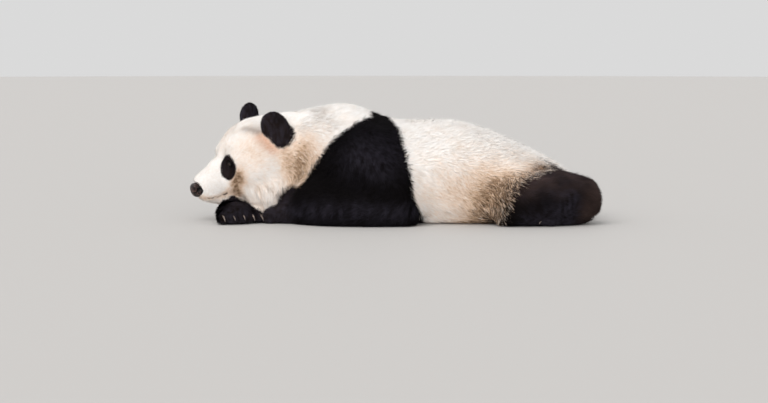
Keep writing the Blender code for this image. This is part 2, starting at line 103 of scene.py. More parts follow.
PAWS = {
    # wrist x, y, heading in degrees, length, width, height
    "forepaw_left": (-0.330, -0.166, 148.0, 0.156, 0.136, 0.081),
    "forepaw_right": (-0.604, -0.095, 300.0, 0.156, 0.136, 0.081),
    "hindpaw_left": (0.652, -0.212, 181.0, 0.185, 0.116, 0.078),
    "hindpaw_right": (0.640, 0.275, 165.0, 0.185, 0.116, 0.078),
}
TOES = 5
TOE_FAN = 6.0           # degrees between neighbouring toes

# Markings: edges of the black parts, as height above the floor and place along the body
BAND_LEFT_FRONT = ((0.000, -0.480), (0.070, -0.460), (0.100, -0.440), (0.120, -0.400),
                   (0.134, -0.345), (0.146, -0.331), (0.196, -0.292), (0.240, -0.264), (0.293, -0.226),
                   (0.337, -0.180), (0.357, -0.140), (0.377, -0.085))
BAND_LEFT_REAR = ((0.00, 0.122), (0.040, 0.092), (0.104, 0.064), (0.125, 0.065), (0.192, 0.056),
                  (0.242, 0.041), (0.267, 0.034), (0.297, 0.029), (0.340, 0.012),
                  (0.364, -0.012), (0.380, -0.030))
BAND_RIGHT_FRONT = ((0.00, -0.480), (0.150, -0.345), (0.250, -0.262), (0.340, -0.165),
                    (0.377, -0.080))
BAND_RIGHT_REAR = ((0.00, -0.040), (0.100, -0.020), (0.250, 0.000), (0.340, -0.004),
                   (0.364, -0.026))
HIND_EDGE = ((0.00, 0.352), (0.070, 0.368), (0.129, 0.400), (0.162, 0.436), (0.187, 0.490),
             (0.200, 0.560))

# Stained places of the body: how strong, where along it and how high, and how far each way
STAINS = ((0.22, (0.315, 0.185), (0.060, 0.050)), (0.88, (-0.362, 0.195), (0.072, 0.095)),
          (0.22, (-0.300, 0.250), (0.090, 0.090)))
# Where black locks get a painted highlight, as if they shone: how strong, where, and how far
GLOSSES = ((0.70, (-0.075, 0.245), (0.110, 0.080)), (0.30, (0.560, 0.170), (0.160, 0.050)))
# The dark patch round an eye: half its length and width, its slant in degrees, and for the
# left and the right one its size and how far out on the cheek it lies
PATCH_REACH = (0.0445, 0.0345)
PATCH_SLANT = 8.0
PATCHES = {1: (1.0, -0.001), -1: (0.76, 0.010)}

TINTS = ("dark", "tan", "rust", "umber", "shadow", "sheen_and_lock_tone")
SKIN_GRID = 0.0066      # grid of the remesh that closes the cuts between the solids
GROWN = 0.0008          # how much each solid is grown before that
SKIN_FLOOR = 0.0006     # no skin or claw is lower than this
TUFT_FLOOR = 0.0012     # no hair is lower than this
ROOT_SUNK = 0.0012      # a tuft starts this far under the skin
EAR_HOLLOW = 0.017
EAR_RISE = {1: 0.004, -1: -0.003}   # the left ear stands taller than its solid
EAR_FULL = 0.012        # how far the rim swells behind
EAR_WAIST = 0.007       # how far it is drawn in at the foot, and raised at the top behind
MOUTH_FOLD = 0.0035     # width and depth of the fold
JOINT_ROUNDS = 45       # of smoothing, where neck and trunk meet
SEEN = 0.60             # how far along its length a hair shows its colour
SWIRL = 0.22            # how far the lie of the hair wanders, in radians
LOCK_SIZES = (0.004, 0.011)
STRAYS = 0.14           # share of the tufts that stand off
BEND = 0.42             # place of a tuft's bend between root and tip
PIECE_TUFTS = 98000     # most tufts in one coat piece
PATCH = 0.003           # width of a tuft's patch on the unwrap


# ---------------------------------------------------------------- settings
class CoatSettings(bpy.types.PropertyGroup):
    density: FloatProperty(
        name="Density", description="Share of the full number of tufts", default=1.0,
        min=0.02, max=1.2, subtype="FACTOR")
    body: FloatProperty(
        name="Body hair", description="Length of the hair on back and flanks", default=0.038,
        unit="LENGTH", subtype="DISTANCE")
    ruff: FloatProperty(
        name="Cheek hair", description="Length of the long hair of the cheeks", default=0.062,
        unit="LENGTH", subtype="DISTANCE")
    face: FloatProperty(
        name="Face hair", description="Length of the hair on the muzzle", default=0.009,
        unit="LENGTH", subtype="DISTANCE")
    seed: IntProperty(name="Seed", description="Starts the scatter of the tufts", default=7)


class FaceSettings(bpy.types.PropertyGroup):
    eye: FloatProperty(
        name="Eyeball", description="Radius of an eyeball", default=0.0115, unit="LENGTH",
        subtype="DISTANCE")
    claw: FloatProperty(
        name="Claw", description="Length of a claw beyond its toe", default=0.022,
        unit="LENGTH", subtype="DISTANCE")


class ColourSettings(bpy.types.PropertyGroup):
    white: StringProperty(name="White", description="Clean white hair", default="FCFCFC")
    cream: StringProperty(name="Cream", description="Slightly stained hair", default="F6E6D8")
    tan: StringProperty(name="Tan", description="Stained hair", default="DABDA1")
    # Brown also colours the painted shade below the eyes
    brown: StringProperty(name="Brown", description="Strongly stained hair", default="866D56")
    rust: StringProperty(name="Rust", description="Hair at the base of the ears",
                         default="DDB194")
    black: StringProperty(name="Black", description="Hair of forelegs, ears and eye patches",
                          default="090708")
    gloss: StringProperty(name="Gloss", description="Black hair where it catches the light",
                          default="3B3945")
    shadow: StringProperty(name="Shadow", description="Tint of the shaded hollows",
                           default="9C8F88")
    umber: StringProperty(name="Umber", description="Hair of the hind legs", default="4C3E3B")


class StageSettings(bpy.types.PropertyGroup):
    distance: FloatProperty(
        name="Distance", description="From the camera to the animal", default=6.5,
        unit="LENGTH", subtype="DISTANCE")
    elevation: FloatProperty(
        name="Elevation", description="Of the camera over the horizon",
        default=math.radians(5.0), unit="ROTATION", subtype="ANGLE")
    lens: FloatProperty(name="Lens", description="Focal length in millimetres", default=84.0)
    target: FloatVectorProperty(
        name="Target", description="The point the camera looks at",
        default=(-0.0437, 0.0, 0.0638), subtype="XYZ", unit="LENGTH")


# ---------------------------------------------------------------- small helpers
def linear(code):
    """An sRGB hex colour as linear RGBA."""
    values = [int(code[i:i + 2], 16) / 255 for i in (0, 2, 4)]
    return (*[v / 12.92 if v <= 0.04045 else ((v + 0.055) / 1.055) ** 2.4 for v in values], 1.0)


def ease(x, low, high):
    """0 below low, 1 above high, smooth between. low may be the larger."""
    t = np.clip((np.asarray(x) - low) / (high - low), 0.0, 1.0)
    return t * t * (3 - 2 * t)


def unit(vectors):
    return vectors / (np.linalg.norm(vectors, axis=-1, keepdims=True) + 1e-12)


def read(collection, name, width=1, kind=np.float32):
    values = np.empty(len(collection) * width, kind)
    collection.foreach_get(name, values)
    return values.reshape(-1, width) if width > 1 else values


def write_attribute(mesh, name, values):
    """A point attribute, float or vector by the shape of the values."""
    vector = values.ndim == 2
    layer = mesh.attributes.new(name, "FLOAT_VECTOR" if vector else "FLOAT", "POINT")
    layer.data.foreach_set("vector" if vector else "value",
                           np.ascontiguousarray(values, np.float32).ravel())


def read_attribute(mesh, name, width=1):
    return read(mesh.attributes[name].data, "vector" if width > 1 else "value", width)


def object_from(name, mesh):
    obj = bpy.data.objects.new(name, mesh)
    bpy.context.scene.collection.objects.link(obj)
    return obj


def mesh_from(bm, name):
    mesh = bpy.data.meshes.new(name)
    bm.to_mesh(mesh)
    bm.free()
    return mesh


def baked(obj):
    """Replaces the object's mesh by what its modifiers make of it."""
    graph = bpy.context.evaluated_depsgraph_get()
    graph.update()
    made = bpy.data.meshes.new_from_object(obj.evaluated_get(graph), depsgraph=graph)
    obj.modifiers.clear()
    obj.data = made
    return obj


def centre(node):
    low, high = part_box(node)
    return (Vector(low) + Vector(high)) / 2


def head_turn():
    turn = Euler((math.radians(HEAD_ROLL), math.radians(HEAD_NOD), 0.0)).to_matrix()
    return Matrix.Rotation(math.radians(180.0 + HEAD_TURN), 3, "Z") @ turn


def head_frame():
    """The head's frame in the world, hung on the nose's solid."""
    turn = head_turn()
    return Matrix.Translation(centre("nose") - turn @ NOSE_PLACE) @ turn.to_4x4()


def shift():
    """From the design's coordinates to the world's."""
    return head_frame().translation - HEAD_CENTRE


def into(frame_matrix, points):
    """World points in a frame's own coordinates."""
    turn = np.array(frame_matrix.to_3x3())
    return (points - np.array(frame_matrix.translation)) @ turn


def out_of(frame_matrix, points):
    turn = np.array(frame_matrix.to_3x3())
    return np.asarray(points, float) @ turn.T + np.array(frame_matrix.translation)


def ear_frame(side):
    """X along the ear's width, Y to its top, Z the way its hollow looks."""
    facing = Vector((EAR_FACING.x, EAR_FACING.y * side, EAR_FACING.z)).normalized()
    top = (Vector((0, 0, 1)) - facing * facing.z).normalized()
    turn = Matrix((top.cross(facing), top, facing)).transposed()
    lean = Matrix.Rotation(math.radians(EAR_LEAN) * side * -1, 3, "Z")
    drop = FAR_EAR_DROP if side < 0 else 0.0
    place = Matrix.Translation((EAR_PLACE.x, EAR_PLACE.y * side, EAR_PLACE.z - drop))
    return head_frame() @ place @ (turn @ lean).to_4x4()


def gaze(side):
    return (head_turn() @ Vector((GAZE.x, GAZE.y * side, GAZE.z))).normalized()


def eye_place(side):
    node = "eye_left" if side > 0 else "eye_right"
    return centre(node) - gaze(side) * EYE_SUNK


# ---------------------------------------------------------------- materials
# The output that stands for a node, where it isn't the first one
MAIN_OUTPUT = {"ShaderNodeAttribute": "Fac", "ShaderNodeMix": 2, "ShaderNodeTexCoord": "Object"}
TIMES_PLUS = {"operation": "MULTIPLY_ADD"}
BLEND = {"data_type": "RGBA"}
DARKEN = {"data_type": "RGBA", "blend_type": "MULTIPLY"}


def add(tree, kind, inputs=(), stops=(), **settings):
    """Adds a node. inputs holds values, sockets or nodes, in order or by socket."""
    node = tree.nodes.new(kind if "Node" in kind else "ShaderNode" + kind)
    for key, value in settings.items():
        setattr(node, key, value)
    for key, value in inputs.items() if isinstance(inputs, dict) else enumerate(inputs):
        if isinstance(value, bpy.types.Node):
            value = value.outputs[MAIN_OUTPUT.get(value.bl_idname, 0)]
        if isinstance(value, bpy.types.NodeSocket):
            tree.links.new(value, node.inputs[key])
        else:
            node.inputs[key].default_value = value
    if stops:
        elements = node.color_ramp.elements
        while len(elements) < len(stops):
            elements.new(0.5)
        for element, (place, colour) in zip(elements, stops):
            element.position = place
            element.color = linear(colour)
    return node


def new_material(name):
    material = bpy.data.materials.new(name)
    material.use_nodes = True
    material.node_tree.nodes.clear()
    return material, material.node_tree


def finish_material(tree, sockets, height=None, strength=0.0, distance=0.0, **settings):
    """Ends a material with its shader, and with a bump where a height is given."""
    if height is not None:
        heights = {"Height": height, "Strength": strength, "Distance": distance}
        sockets = {**sockets, "Normal": add(tree, "Bump", heights, **settings)}
    add(tree, "OutputMaterial", (add(tree, "BsdfPrincipled", sockets),))


def coat_colour(tree, place):
    """The markings, the same for skin and coat. place is the point whose colour is wanted."""
    tints = bpy.context.scene.panda_colours
    share = {name: add(tree, "Attribute", attribute_name=name) for name in TINTS}
    # Stain gathers in soft clouds about 60 mm across and in speckles of 5 to 8 mm
    clouds = add(tree, "TexNoise", {"Vector": place, "Scale": 16.0, "Detail": 3.0})
    speckles = add(tree, "TexNoise", {"Vector": place, "Scale": 150.0, "Detail": 2.0})
    # Locks of hair about 9 mm wide and several times as tall differ in tone
    tall = add(tree, "Mapping", {"Vector": place, "Scale": (1.0, 1.0, 0.22)})
    locks = add(tree, "TexNoise", {"Vector": tall, "Scale": 110.0, "Detail": 3.0})
    cloud = add(tree, "Math", (clouds, 0.24, -0.12), **TIMES_PLUS)
    speckle = add(tree, "Math", (speckles, 2.0, -1.0), **TIMES_PLUS)
    lock = add(tree, "Math", (locks, 2.4, -1.2), **TIMES_PLUS)
    depth = add(tree, "Math", (share["tan"], 0.95, 0.10), **TIMES_PLUS)
    stain = add(tree, "Math", (lock, share["sheen_and_lock_tone"], share["tan"]), **TIMES_PLUS)
    stain = add(tree, "Math", (stain, cloud), operation="ADD")
    stain = add(tree, "Math", (speckle, depth, stain), **TIMES_PLUS, use_clamp=True)
    white = add(tree, "ValToRGB", (stain,), ((0.0, tints.white), (0.34, tints.cream),
                                             (0.66, tints.tan), (1.0, tints.brown)))
    white = add(tree, "Mix", {0: share["rust"], 6: white, 7: linear(tints.rust)}, **BLEND)
    shadow = add(tree, "Math", (share["shadow"], 0.9), operation="MULTIPLY")
    white = add(tree, "Mix", {0: shadow, 6: white, 7: linear(tints.shadow)}, **DARKEN)
    brown = add(tree, "Math", (clouds, 1.6, -0.3), **TIMES_PLUS)
    brown = add(tree, "Math", (brown, share["umber"]), operation="MULTIPLY", use_clamp=True)
    dark = add(tree, "Mix", {0: brown, 6: linear(tints.black), 7: linear(tints.umber)}, **BLEND)
    # Some of the black locks get a painted highlight, as if they caught the light
    lit = add(tree, "Math", (locks, 3.2, -1.1), **TIMES_PLUS, use_clamp=True)
    gloss = add(tree, "Math", (share["sheen_and_lock_tone"], lit), operation="MULTIPLY")
    dark = add(tree, "Mix", {0: gloss, 6: dark, 7: linear(tints.gloss)}, **BLEND)
    return add(tree, "Mix", {0: share["dark"], 6: white, 7: dark}, **BLEND)


def make_skin_material():
    """Skin under a dense undercoat: soft, matt, with the fine grain of short lying hair."""
    material, tree = new_material("skin_with_undercoat")
    place = add(tree, "TexCoord")
    # Hairs of the undercoat are about 1.5 mm apart where they clump
    grain = add(tree, "TexNoise", {"Vector": place, "Scale": 620.0, "Detail": 3.0})
    colour = add(tree, "Mix", {0: 0.12, 6: coat_colour(tree, place), 7: linear("8C7A6C")},
                 **DARKEN)
    finish_material(tree, {"Base Color": colour, "Roughness": 0.85, "Specular IOR Level": 0.05},
                    grain, 0.6, 0.0012)
    return material


def make_hair_material():
    """Coarse woolly hair: matt, with a faint gloss, and darker towards the root with painted shade
    between the hairs.
    """
    material, tree = new_material("woolly_hair")
    colour = coat_colour(tree, add(tree, "Attribute", attribute_name="root").outputs["Vector"])
    # Painted shade between the hairs deepens towards their roots, and no two tufts are quite alike
    for name, low, middle in (("tip", "E2DAD3", 0.5), ("tuft", "ECE6E0", 0.4)):
        share = add(tree, "Attribute", attribute_name=name)
        tone = add(tree, "ValToRGB", (share,), ((0.0, low), (middle, "FAF8F6"), (1.0, "FFFFFF")))
        colour = add(tree, "Mix", {0: 1.0, 6: colour, 7: tone}, **DARKEN)
    finish_material(tree, {"Base Color": colour, "Roughness": 0.75, "Specular IOR Level": 0.05})
    return material


def make_nose_material():
    """Bare nose leather: black, pebbled in cells of about 1.4 mm, damp and half glossy."""
    material, tree = new_material("nose_leather_damp")
    place = add(tree, "TexCoord")
    cells = add(tree, "TexVoronoi", {"Vector": place, "Scale": 700.0}, feature="SMOOTH_F1")
    tone = add(tree, "TexNoise", {"Vector": place, "Scale": 150.0, "Detail": 3.0})
    colour = add(tree, "ValToRGB", (tone,), ((0.38, "060303"), (0.52, "160E0D"),
                                             (0.66, "644A46")))
    pit = add(tree, "Attribute", attribute_name="pit")
    # Nostrils and the groove under the pad are painted near black: painted shade in their hollows
    colour = add(tree, "Mix", {0: pit, 6: colour, 7: linear("010101")}, **BLEND)
    finish_material(tree, {"Base Color": colour, "Roughness": 0.38, "Specular IOR Level": 0.13},
                    cells, 0.45, 0.0006, invert=True)
    return material


def make_eye_material():
    """Eyeball: dark brown iris with fine rays round a black pupil, under a wet clear cornea."""
    material, tree = new_material("eyeball_wet")
    rays = add(tree, "TexNoise", {"Vector": add(tree, "TexCoord"), "Scale": 900.0,
                                  "Detail": 4.0})
    iris = add(tree, "ValToRGB", (rays,), ((0.35, "1C0E08"), (0.7, "40230F")))
    # From the pupil outwards: pupil, iris, its dark rim and the white of the eye
    rings = add(tree, "ValToRGB", (add(tree, "Attribute", attribute_name="polar"),), (
        (0.0, "030202"), (0.235, "030202"), (0.25, "FFFFFF"), (0.50, "FFFFFF"),
        (0.56, "1A0E0A"), (0.62, "3A2A24")))
    colour = add(tree, "Mix", {0: 1.0, 6: iris, 7: rings}, **DARKEN)
    finish_material(tree, {"Base Color": colour, "Roughness": 0.12, "Specular IOR Level": 0.3,
                           "Coat Weight": 0.4, "Coat Roughness": 0.03})
    return material


def make_bare_material(name, low, high, roughness, scale):
    """Bare dark skin, as on lids and lips: soft, slightly moist, mottled at a few millimetres."""
    material, tree = new_material(name)
    tone = add(tree, "TexNoise", {"Vector": add(tree, "TexCoord"), "Scale": scale,
                                  "Detail": 4.0})
    colour = add(tree, "ValToRGB", (tone,), ((0.3, low), (0.7, high)))
    finish_material(tree, {"Base Color": colour, "Roughness": roughness,
                           "Specular IOR Level": 0.2}, tone, 0.3, 0.0005)
    return material


def finish_piece(obj, material, slot, *stood_for):
    """Smooths and colours a piece, hangs it on the body's root, and hides the solids it stands for."""
    mesh = obj.data
    mesh.polygons.foreach_set("use_smooth", np.ones(len(mesh.polygons), bool))
    mesh.materials.clear()
    mesh.materials.append(material)
    if stood_for:
        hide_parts(*stood_for)
    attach(obj, "root")


# ---------------------------------------------------------------- the skin
def joined_flesh():
    """The flesh nodes as one closed skin: each grown a little, so that the thin cuts close."""
    bm = bmesh.new()
    for node in FLESH:
        part = bmesh.new()
        part.from_mesh(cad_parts[node].data)
        bmesh.ops.remove_doubles(part, verts=part.verts, dist=1e-5)
        part.normal_update()
        for vertex in part.verts:
            vertex.co += vertex.normal * GROWN
        part.to_mesh(scratch := bpy.data.meshes.new("scratch"))
        part.free()
        bm.from_mesh(scratch)
        bpy.data.meshes.remove(scratch)
    obj = object_from("skin", mesh_from(bm, "skin"))
    remesh = obj.modifiers.new("close", "REMESH")
    remesh.mode = "VOXEL"
    remesh.voxel_size = SKIN_GRID
    smooth = obj.modifiers.new("soften", "SMOOTH")
    smooth.factor = 0.5
    smooth.iterations = 8
    return baked(obj)


def refine(mesh, near, levels):
    """Divides the faces that near() picks, so that small folds can be shaped there."""
    bm = bmesh.new()
    bm.from_mesh(mesh)
    for level in range(levels):
        middles = np.array([face.calc_center_median() for face in bm.faces])
        picked = near(middles, level)
        edges = {edge for face, wanted in zip(bm.faces, picked) if wanted for edge in face.edges}
        bmesh.ops.subdivide_edges(bm, edges=list(edges), cuts=1, use_grid_fill=True)
    bm.to_mesh(mesh)
    bm.free()


def node_labels(points):
    """For each point, the number of the flesh node whose surface is nearest."""
    vertices, faces, owners = [], [], []
    for node in FLESH:
        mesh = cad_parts[node].data
        start = len(vertices)
        vertices.extend(vertex.co.copy() for vertex in mesh.vertices)
        faces.extend([start + i for i in polygon.vertices] for polygon in mesh.polygons)
        owners.extend([LABEL[node]] * len(mesh.polygons))
    tree = BVHTree.FromPolygons(vertices, faces)
    return np.array([owners[tree.find_nearest(Vector(point))[2]] for point in points])


class Surface:
    """A mesh as arrays, with averages over neighbouring vertices."""

    def __init__(self, mesh):
        mesh.update()
        self.points = read(mesh.vertices, "co", 3).astype(float)
        self.normals = read(mesh.vertex_normals, "vector", 3).astype(float)
        self.edges = read(mesh.edges, "vertices", 2, np.int32)
        ends = self.edges.ravel()
        self.count = np.maximum(np.bincount(ends, minlength=len(self.points)), 1)

    def spread(self, values, rounds):
        """Each round moves every value half way to the average of its neighbours."""
        values = np.array(values, float)
        flat = values.reshape(len(values), -1)
        first, second = self.edges[:, 0], self.edges[:, 1]
        for _ in range(rounds):
            for column in range(flat.shape[1]):
                v = flat[:, column]
                total = (np.bincount(first, v[second], len(v))
                         + np.bincount(second, v[first], len(v)))
                flat[:, column] = 0.5 * v + 0.5 * total / self.count
        return flat.reshape(values.shape)


def nearest_stretch(points, *lines):
    """Distance to the nearest stretch of some chains of points, and the stretch's direction."""
    best = np.full(len(points), 1e9)
    way = np.zeros_like(points)
    for line in lines:
        for start, end in zip(line, line[1:]):
            a, b = np.array(start), np.array(end)
            share = np.clip(((points - a) @ (b - a)) / ((b - a) @ (b - a)), 0, 1)
            gap = np.linalg.norm(points - (a + share[:, None] * (b - a)), axis=1)
            nearer = gap < best
            best[nearer] = gap[nearer]
            way[nearer] = unit(b - a)
    return best, way


def paw_closeness(points):
    """1 on the paws, falling to 0 up the wrist."""
    near = np.zeros(len(points))
    for x, y, heading, length, *_ in PAWS.values():
        way = np.array((math.cos(math.radians(heading)), math.sin(math.radians(heading))))
        flat = points[:, :2] - np.array((x, y))
        forward, across = flat @ way, flat @ np.array((-way[1], way[0]))
        inside = ease(forward, -0.02, 0.05) * ease(forward, length + 0.06, length + 0.02)
        near = np.maximum(near, inside * ease(np.abs(across), 0.12, 0.09)
                          * ease(points[:, 2], 0.15, 0.11))
    return near


def eye_distance(points):
    return np.minimum(*[np.linalg.norm(points - np.array(eye_place(side)), axis=1)
                        for side in (1, -1)])


def mouth_distance(head):
    """Distance to the line of the mouth, in the head's frame, folded onto the left side."""
    return nearest_stretch(folded(head), MOUTH)[0]


def edge_at(line, heights):
    heights_known, places = zip(*line)
    return np.interp(heights, heights_known, places)


def eye_patch(head):
    """1 on the dark patches round the eyes, which droop outwards."""
    worn = np.zeros(len(head))
    slant = math.radians(PATCH_SLANT)
    for side, (size, out) in PATCHES.items():
        flat = head - into(head_frame(), np.array([eye_place(side)]))[0]
        across = flat[:, 1] * side * 0.91 - flat[:, 0] * 0.41
        down = -flat[:, 2]
        long_way = down * math.cos(slant) + across * math.sin(slant)
        wide_way = across * math.cos(slant) - down * math.sin(slant)
        reach = np.hypot((long_way - 0.008) / PATCH_REACH[0],
                         (wide_way - out) / PATCH_REACH[1]) / size
        worn = np.maximum(worn, ease(reach, 1.12, 0.92) * ease(np.abs(flat[:, 0]), 0.09, 0.06)
                          * (head[:, 1] * side > 0.012))
    return worn


def bell(values, middle, spread):
    """1 at the middle, falling off smoothly on both sides."""
    return np.exp(-((values - middle) / spread) ** 2)


def spot(places, middles, spreads):
    """A soft spot: bells in two or three directions at once."""
    return np.prod([bell(*row) for row in zip(places, middles, spreads)], axis=0)


def folded(head):
    """The head's points with the right side laid over the left."""
    return np.stack((head[:, 0], np.abs(head[:, 1]), head[:, 2]), 1)


def on_ear(world, labels):
    """1 on an ear itself, 0 on the crown round its foot."""
    reach = [np.linalg.norm(into(ear_frame(side), world) / np.array(EAR_RADII), axis=1) / grown
             for side, grown in ((1, 1.05), (-1, 1.18))]
    return ease(np.minimum(*reach), 1.17, 1.08) * of_nodes(labels, "ear_left", "ear_right")


def of_nodes(labels, *nodes):
    return np.isin(labels, [LABEL[node] for node in nodes])


def paint(points, head, labels, ears):
    """The shares of black, stain, rust, brown tint, painted shadow, and painted highlight on black
    with lock tone on white, for points of the body.
    """
    x, y, z = points.T
    legs = of_nodes(labels, "foreleg_left", "foreleg_right")
    hind = of_nodes(labels, "hindleg_left", "hindleg_right", "trunk")
    on_head = of_nodes(labels, "head", "ear_left", "ear_right")
    body = ~on_head
    side = ease(np.abs(y), 0.05, 0.16)
    right = ease(y, -0.03, 0.03)
    # The black band round shoulders and forelegs, and the black of the hind legs
    front = edge_at(BAND_LEFT_FRONT, z) * (1 - right) + edge_at(BAND_RIGHT_FRONT, z) * right
    rear = edge_at(BAND_LEFT_REAR, z) * (1 - right) + edge_at(BAND_RIGHT_REAR, z) * right
    band = ease(x, front - 0.010, front + 0.010) * ease(x, rear + 0.008, rear - 0.008)
    band = np.where(legs & (z < 0.095), 1.0, band) * body
    edge = edge_at(HIND_EDGE, z)
    fringe = np.clip((x - edge + 0.095) / 0.125, 0, 1) ** 1.6
    top = 0.230 + 0.060 * ease(x, 0.49, 0.58)
    haunch = fringe * ease(np.abs(y), 0.070, 0.115) * ease(z, top, top - 0.066) * hind
    # Tan on flanks and shoulders, deeper towards the floor; the lowest hair is painted paler again, a
    # painted stand-in for light thrown up from the floor
    tan = side * ease(x, -0.03, 0.26) * (0.04 + 0.44 * ease(z, 0.31, 0.05))
    tan *= 1 - 0.50 * ease(z, 0.12, 0.04)
    tan += 0.58 * bell(x, edge - 0.050, 0.070) * ease(z, 0.245, 0.13) * (x > 0.1)
    for share, middle, spread in STAINS:
        tan += share * spot((x, z), middle, spread) * side * body
    # Stain of the face, and painted shade below the eyes
    hx, hy, hz = folded(head).T
    # Painted shade in the hollow below each eye, between muzzle and cheek hair: it deepens the tan and
    # the shadow tint
    under_eye_shade = bell(nearest_stretch(folded(head), UNDER_EYE_SHADE)[0], 0.0, 0.023)
    cheek = spot((hx, hy, hz), (0.112, 0.115, -0.030), (0.028, 0.028, 0.034))
    mouth = bell(mouth_distance(head), 0.0, 0.013)
    chin = ease(hz, -0.115, -0.150) * ease(hx, 0.05, 0.12)
    nape = ease(hx, 0.005, -0.060) * ease(hy, 0.10, 0.16) * bell(hz, -0.010, 0.080)
    brow = spot((hx, hz), (0.045, 0.045), (0.075, 0.070))
    ruff = ruff_share(head)
    tan += on_head * (0.92 * under_eye_shade + 0.46 * cheek + 0.40 * mouth + 0.20 * chin + 0.70 * nape
                      + 0.28 * brow + 0.14 * ruff)
    rust = 0.90 * bell(nearest_stretch(folded(head), EAR_ROOT)[0], 0.0, 0.021) * on_head
    temple = bell(nearest_stretch(folded(head), TEMPLE)[0], 0.0, 0.015) * on_head
    shadow = np.maximum(0.80 * temple, 0.30 * under_eye_shade)
    patch = eye_patch(head) * on_head
    dark = np.maximum.reduce([band, haunch, patch, ears * ease(rust, 0.80, 0.55)])
    # Painted highlight on the black locks, how far the white locks differ in stain, and the brown of
    # the black hair
    paws = paw_closeness(points)
    # Painted highlight on the black: shoulders and hind legs, lower forelegs, paws, eye patches and
    # ears, the far, right ear painted much lighter than black
    black = [share * spot((x, z), middle, spread) for share, middle, spread in GLOSSES]
    black = np.maximum.reduce([*black, 0.60 * bell(z, 0.050, 0.032) * legs, 0.55 * paws,
                               0.25 * patch,
                               ears * np.where(labels == LABEL["ear_right"], 0.95, 0.40)])
    white = np.maximum.reduce([0.30 * ruff * on_head, 0.25 * nape * on_head,
                               0.22 * bell(x, -0.35, 0.09) * side * body, 0.10 * side * body])
    sheen_and_lock_tone = np.where(dark > 0.5, black, white)
    umber = np.maximum.reduce([ease(x, 0.15, 0.40) * (0.05 + 0.90 * ease(z, 0.07, 0.17)),
                               1.1 * ease(x, 0.60, 0.70), 0.35 * patch, 0.30 * ears,
                               0.30 * paws * (x < 0)])
    return dark, np.clip(tan, 0, 1), np.clip(rust, 0, 1), umber, shadow, sheen_and_lock_tone


def hair_lie(points, world, head, labels, normals):
    """The way the hair points, before it is laid on the surface."""
    way = np.tile((1.0, 0.0, 0.0), (len(points), 1))
    way[:, 2] -= 0.55 * (1 - np.abs(normals[:, 2]))
    neck = labels == LABEL["neck"]
    way[neck] += (0.0, 0.0, -0.35)
    # On the face it runs away from the nose, and on the cheeks it hangs
    from_nose = head - np.array(NOSE_PLACE + Vector((0.01, 0.0, 0.01)))
    ruff = ruff_share(head)
    hang = ruff[:, None] * np.array((0.35, 0.0, -1.0))
    hang[:, 1] += 0.35 * np.sign(head[:, 1]) * ruff
    face = unit(unit(from_nose) + hang * 2.6) @ np.array(head_turn()).T
    on_head = labels == LABEL["head"]
    way[on_head] = face[on_head]
    for node, side in (("ear_left", 1), ("ear_right", -1)):
        local = into(ear_frame(side), world)
        rim = local - np.array((0.0, -0.085, 0.0))
        rim[:, 2] *= 0.3
        rim = rim @ np.array(ear_frame(side).to_3x3()).T
        way[labels == LABEL[node]] = unit(rim)[labels == LABEL[node]]
    for node in LIMBS:
        here = labels == LABEL[node]
        down = np.array((0.0, 0.0, -0.75)) * (1 - np.abs(normals[here][:, 2:3]))
        way[here] = unit(nearest_stretch(points[here], *LIMBS[node])[1] + down)
    way[labels == LABEL["tail"]] = (0.6, 0.0, -0.8)
    return way


def ruff_share(head):
    """1 on the long hair of the cheeks."""
    return (ease(np.abs(head[:, 1]), 0.055, 0.10) * ease(head[:, 2], -0.015, -0.085)
            * ease(head[:, 0], 0.125, 0.06))


def muzzle_share(head):
    return ease(head[:, 0], 0.095, 0.165)


def coat_measures(points, world, head, labels):
    """For each point: the coat's depth, the length, width and number of its tufts."""
    coat = bpy.context.scene.panda_coat
    # Depth of the coat, length and width of a tuft in metres, tufts in a square metre
    table = {
        "trunk": (0.022, coat.body, 0.0020, 340e3),
        "neck": (0.024, coat.body * 1.05, 0.0021, 380e3),
        "head": (0.011, 0.023, 0.0012, 760e3),
        "tail": (0.018, 0.040, 0.0021, 300e3),
        "ear": (0.007, 0.015, 0.0012, 800e3),
        "foreleg": (0.017, 0.036, 0.0020, 320e3),
        "hindleg": (0.019, 0.040, 0.0020, 320e3),
    }
    measures = np.array([table[node.split("_")[0]] for node in FLESH])[labels]
    on_head = labels == LABEL["head"]
    near_eye = ease(eye_distance(world), 0.055, 0.020)
    for values, share in (((0.0035, coat.face, 0.0009, 1000e3), muzzle_share(head) * on_head),
                          ((0.024, coat.ruff, 0.0018, 560e3), ruff_share(head) * on_head),
                          ((0.0030, 0.0085, 0.0009, 1000e3), near_eye * on_head),
                          ((0.008, 0.020, 0.0016, 420e3), paw_closeness(points) * ~on_head)):
        measures = measures * (1 - share[:, None]) + np.array(values) * share[:, None]
    return measures


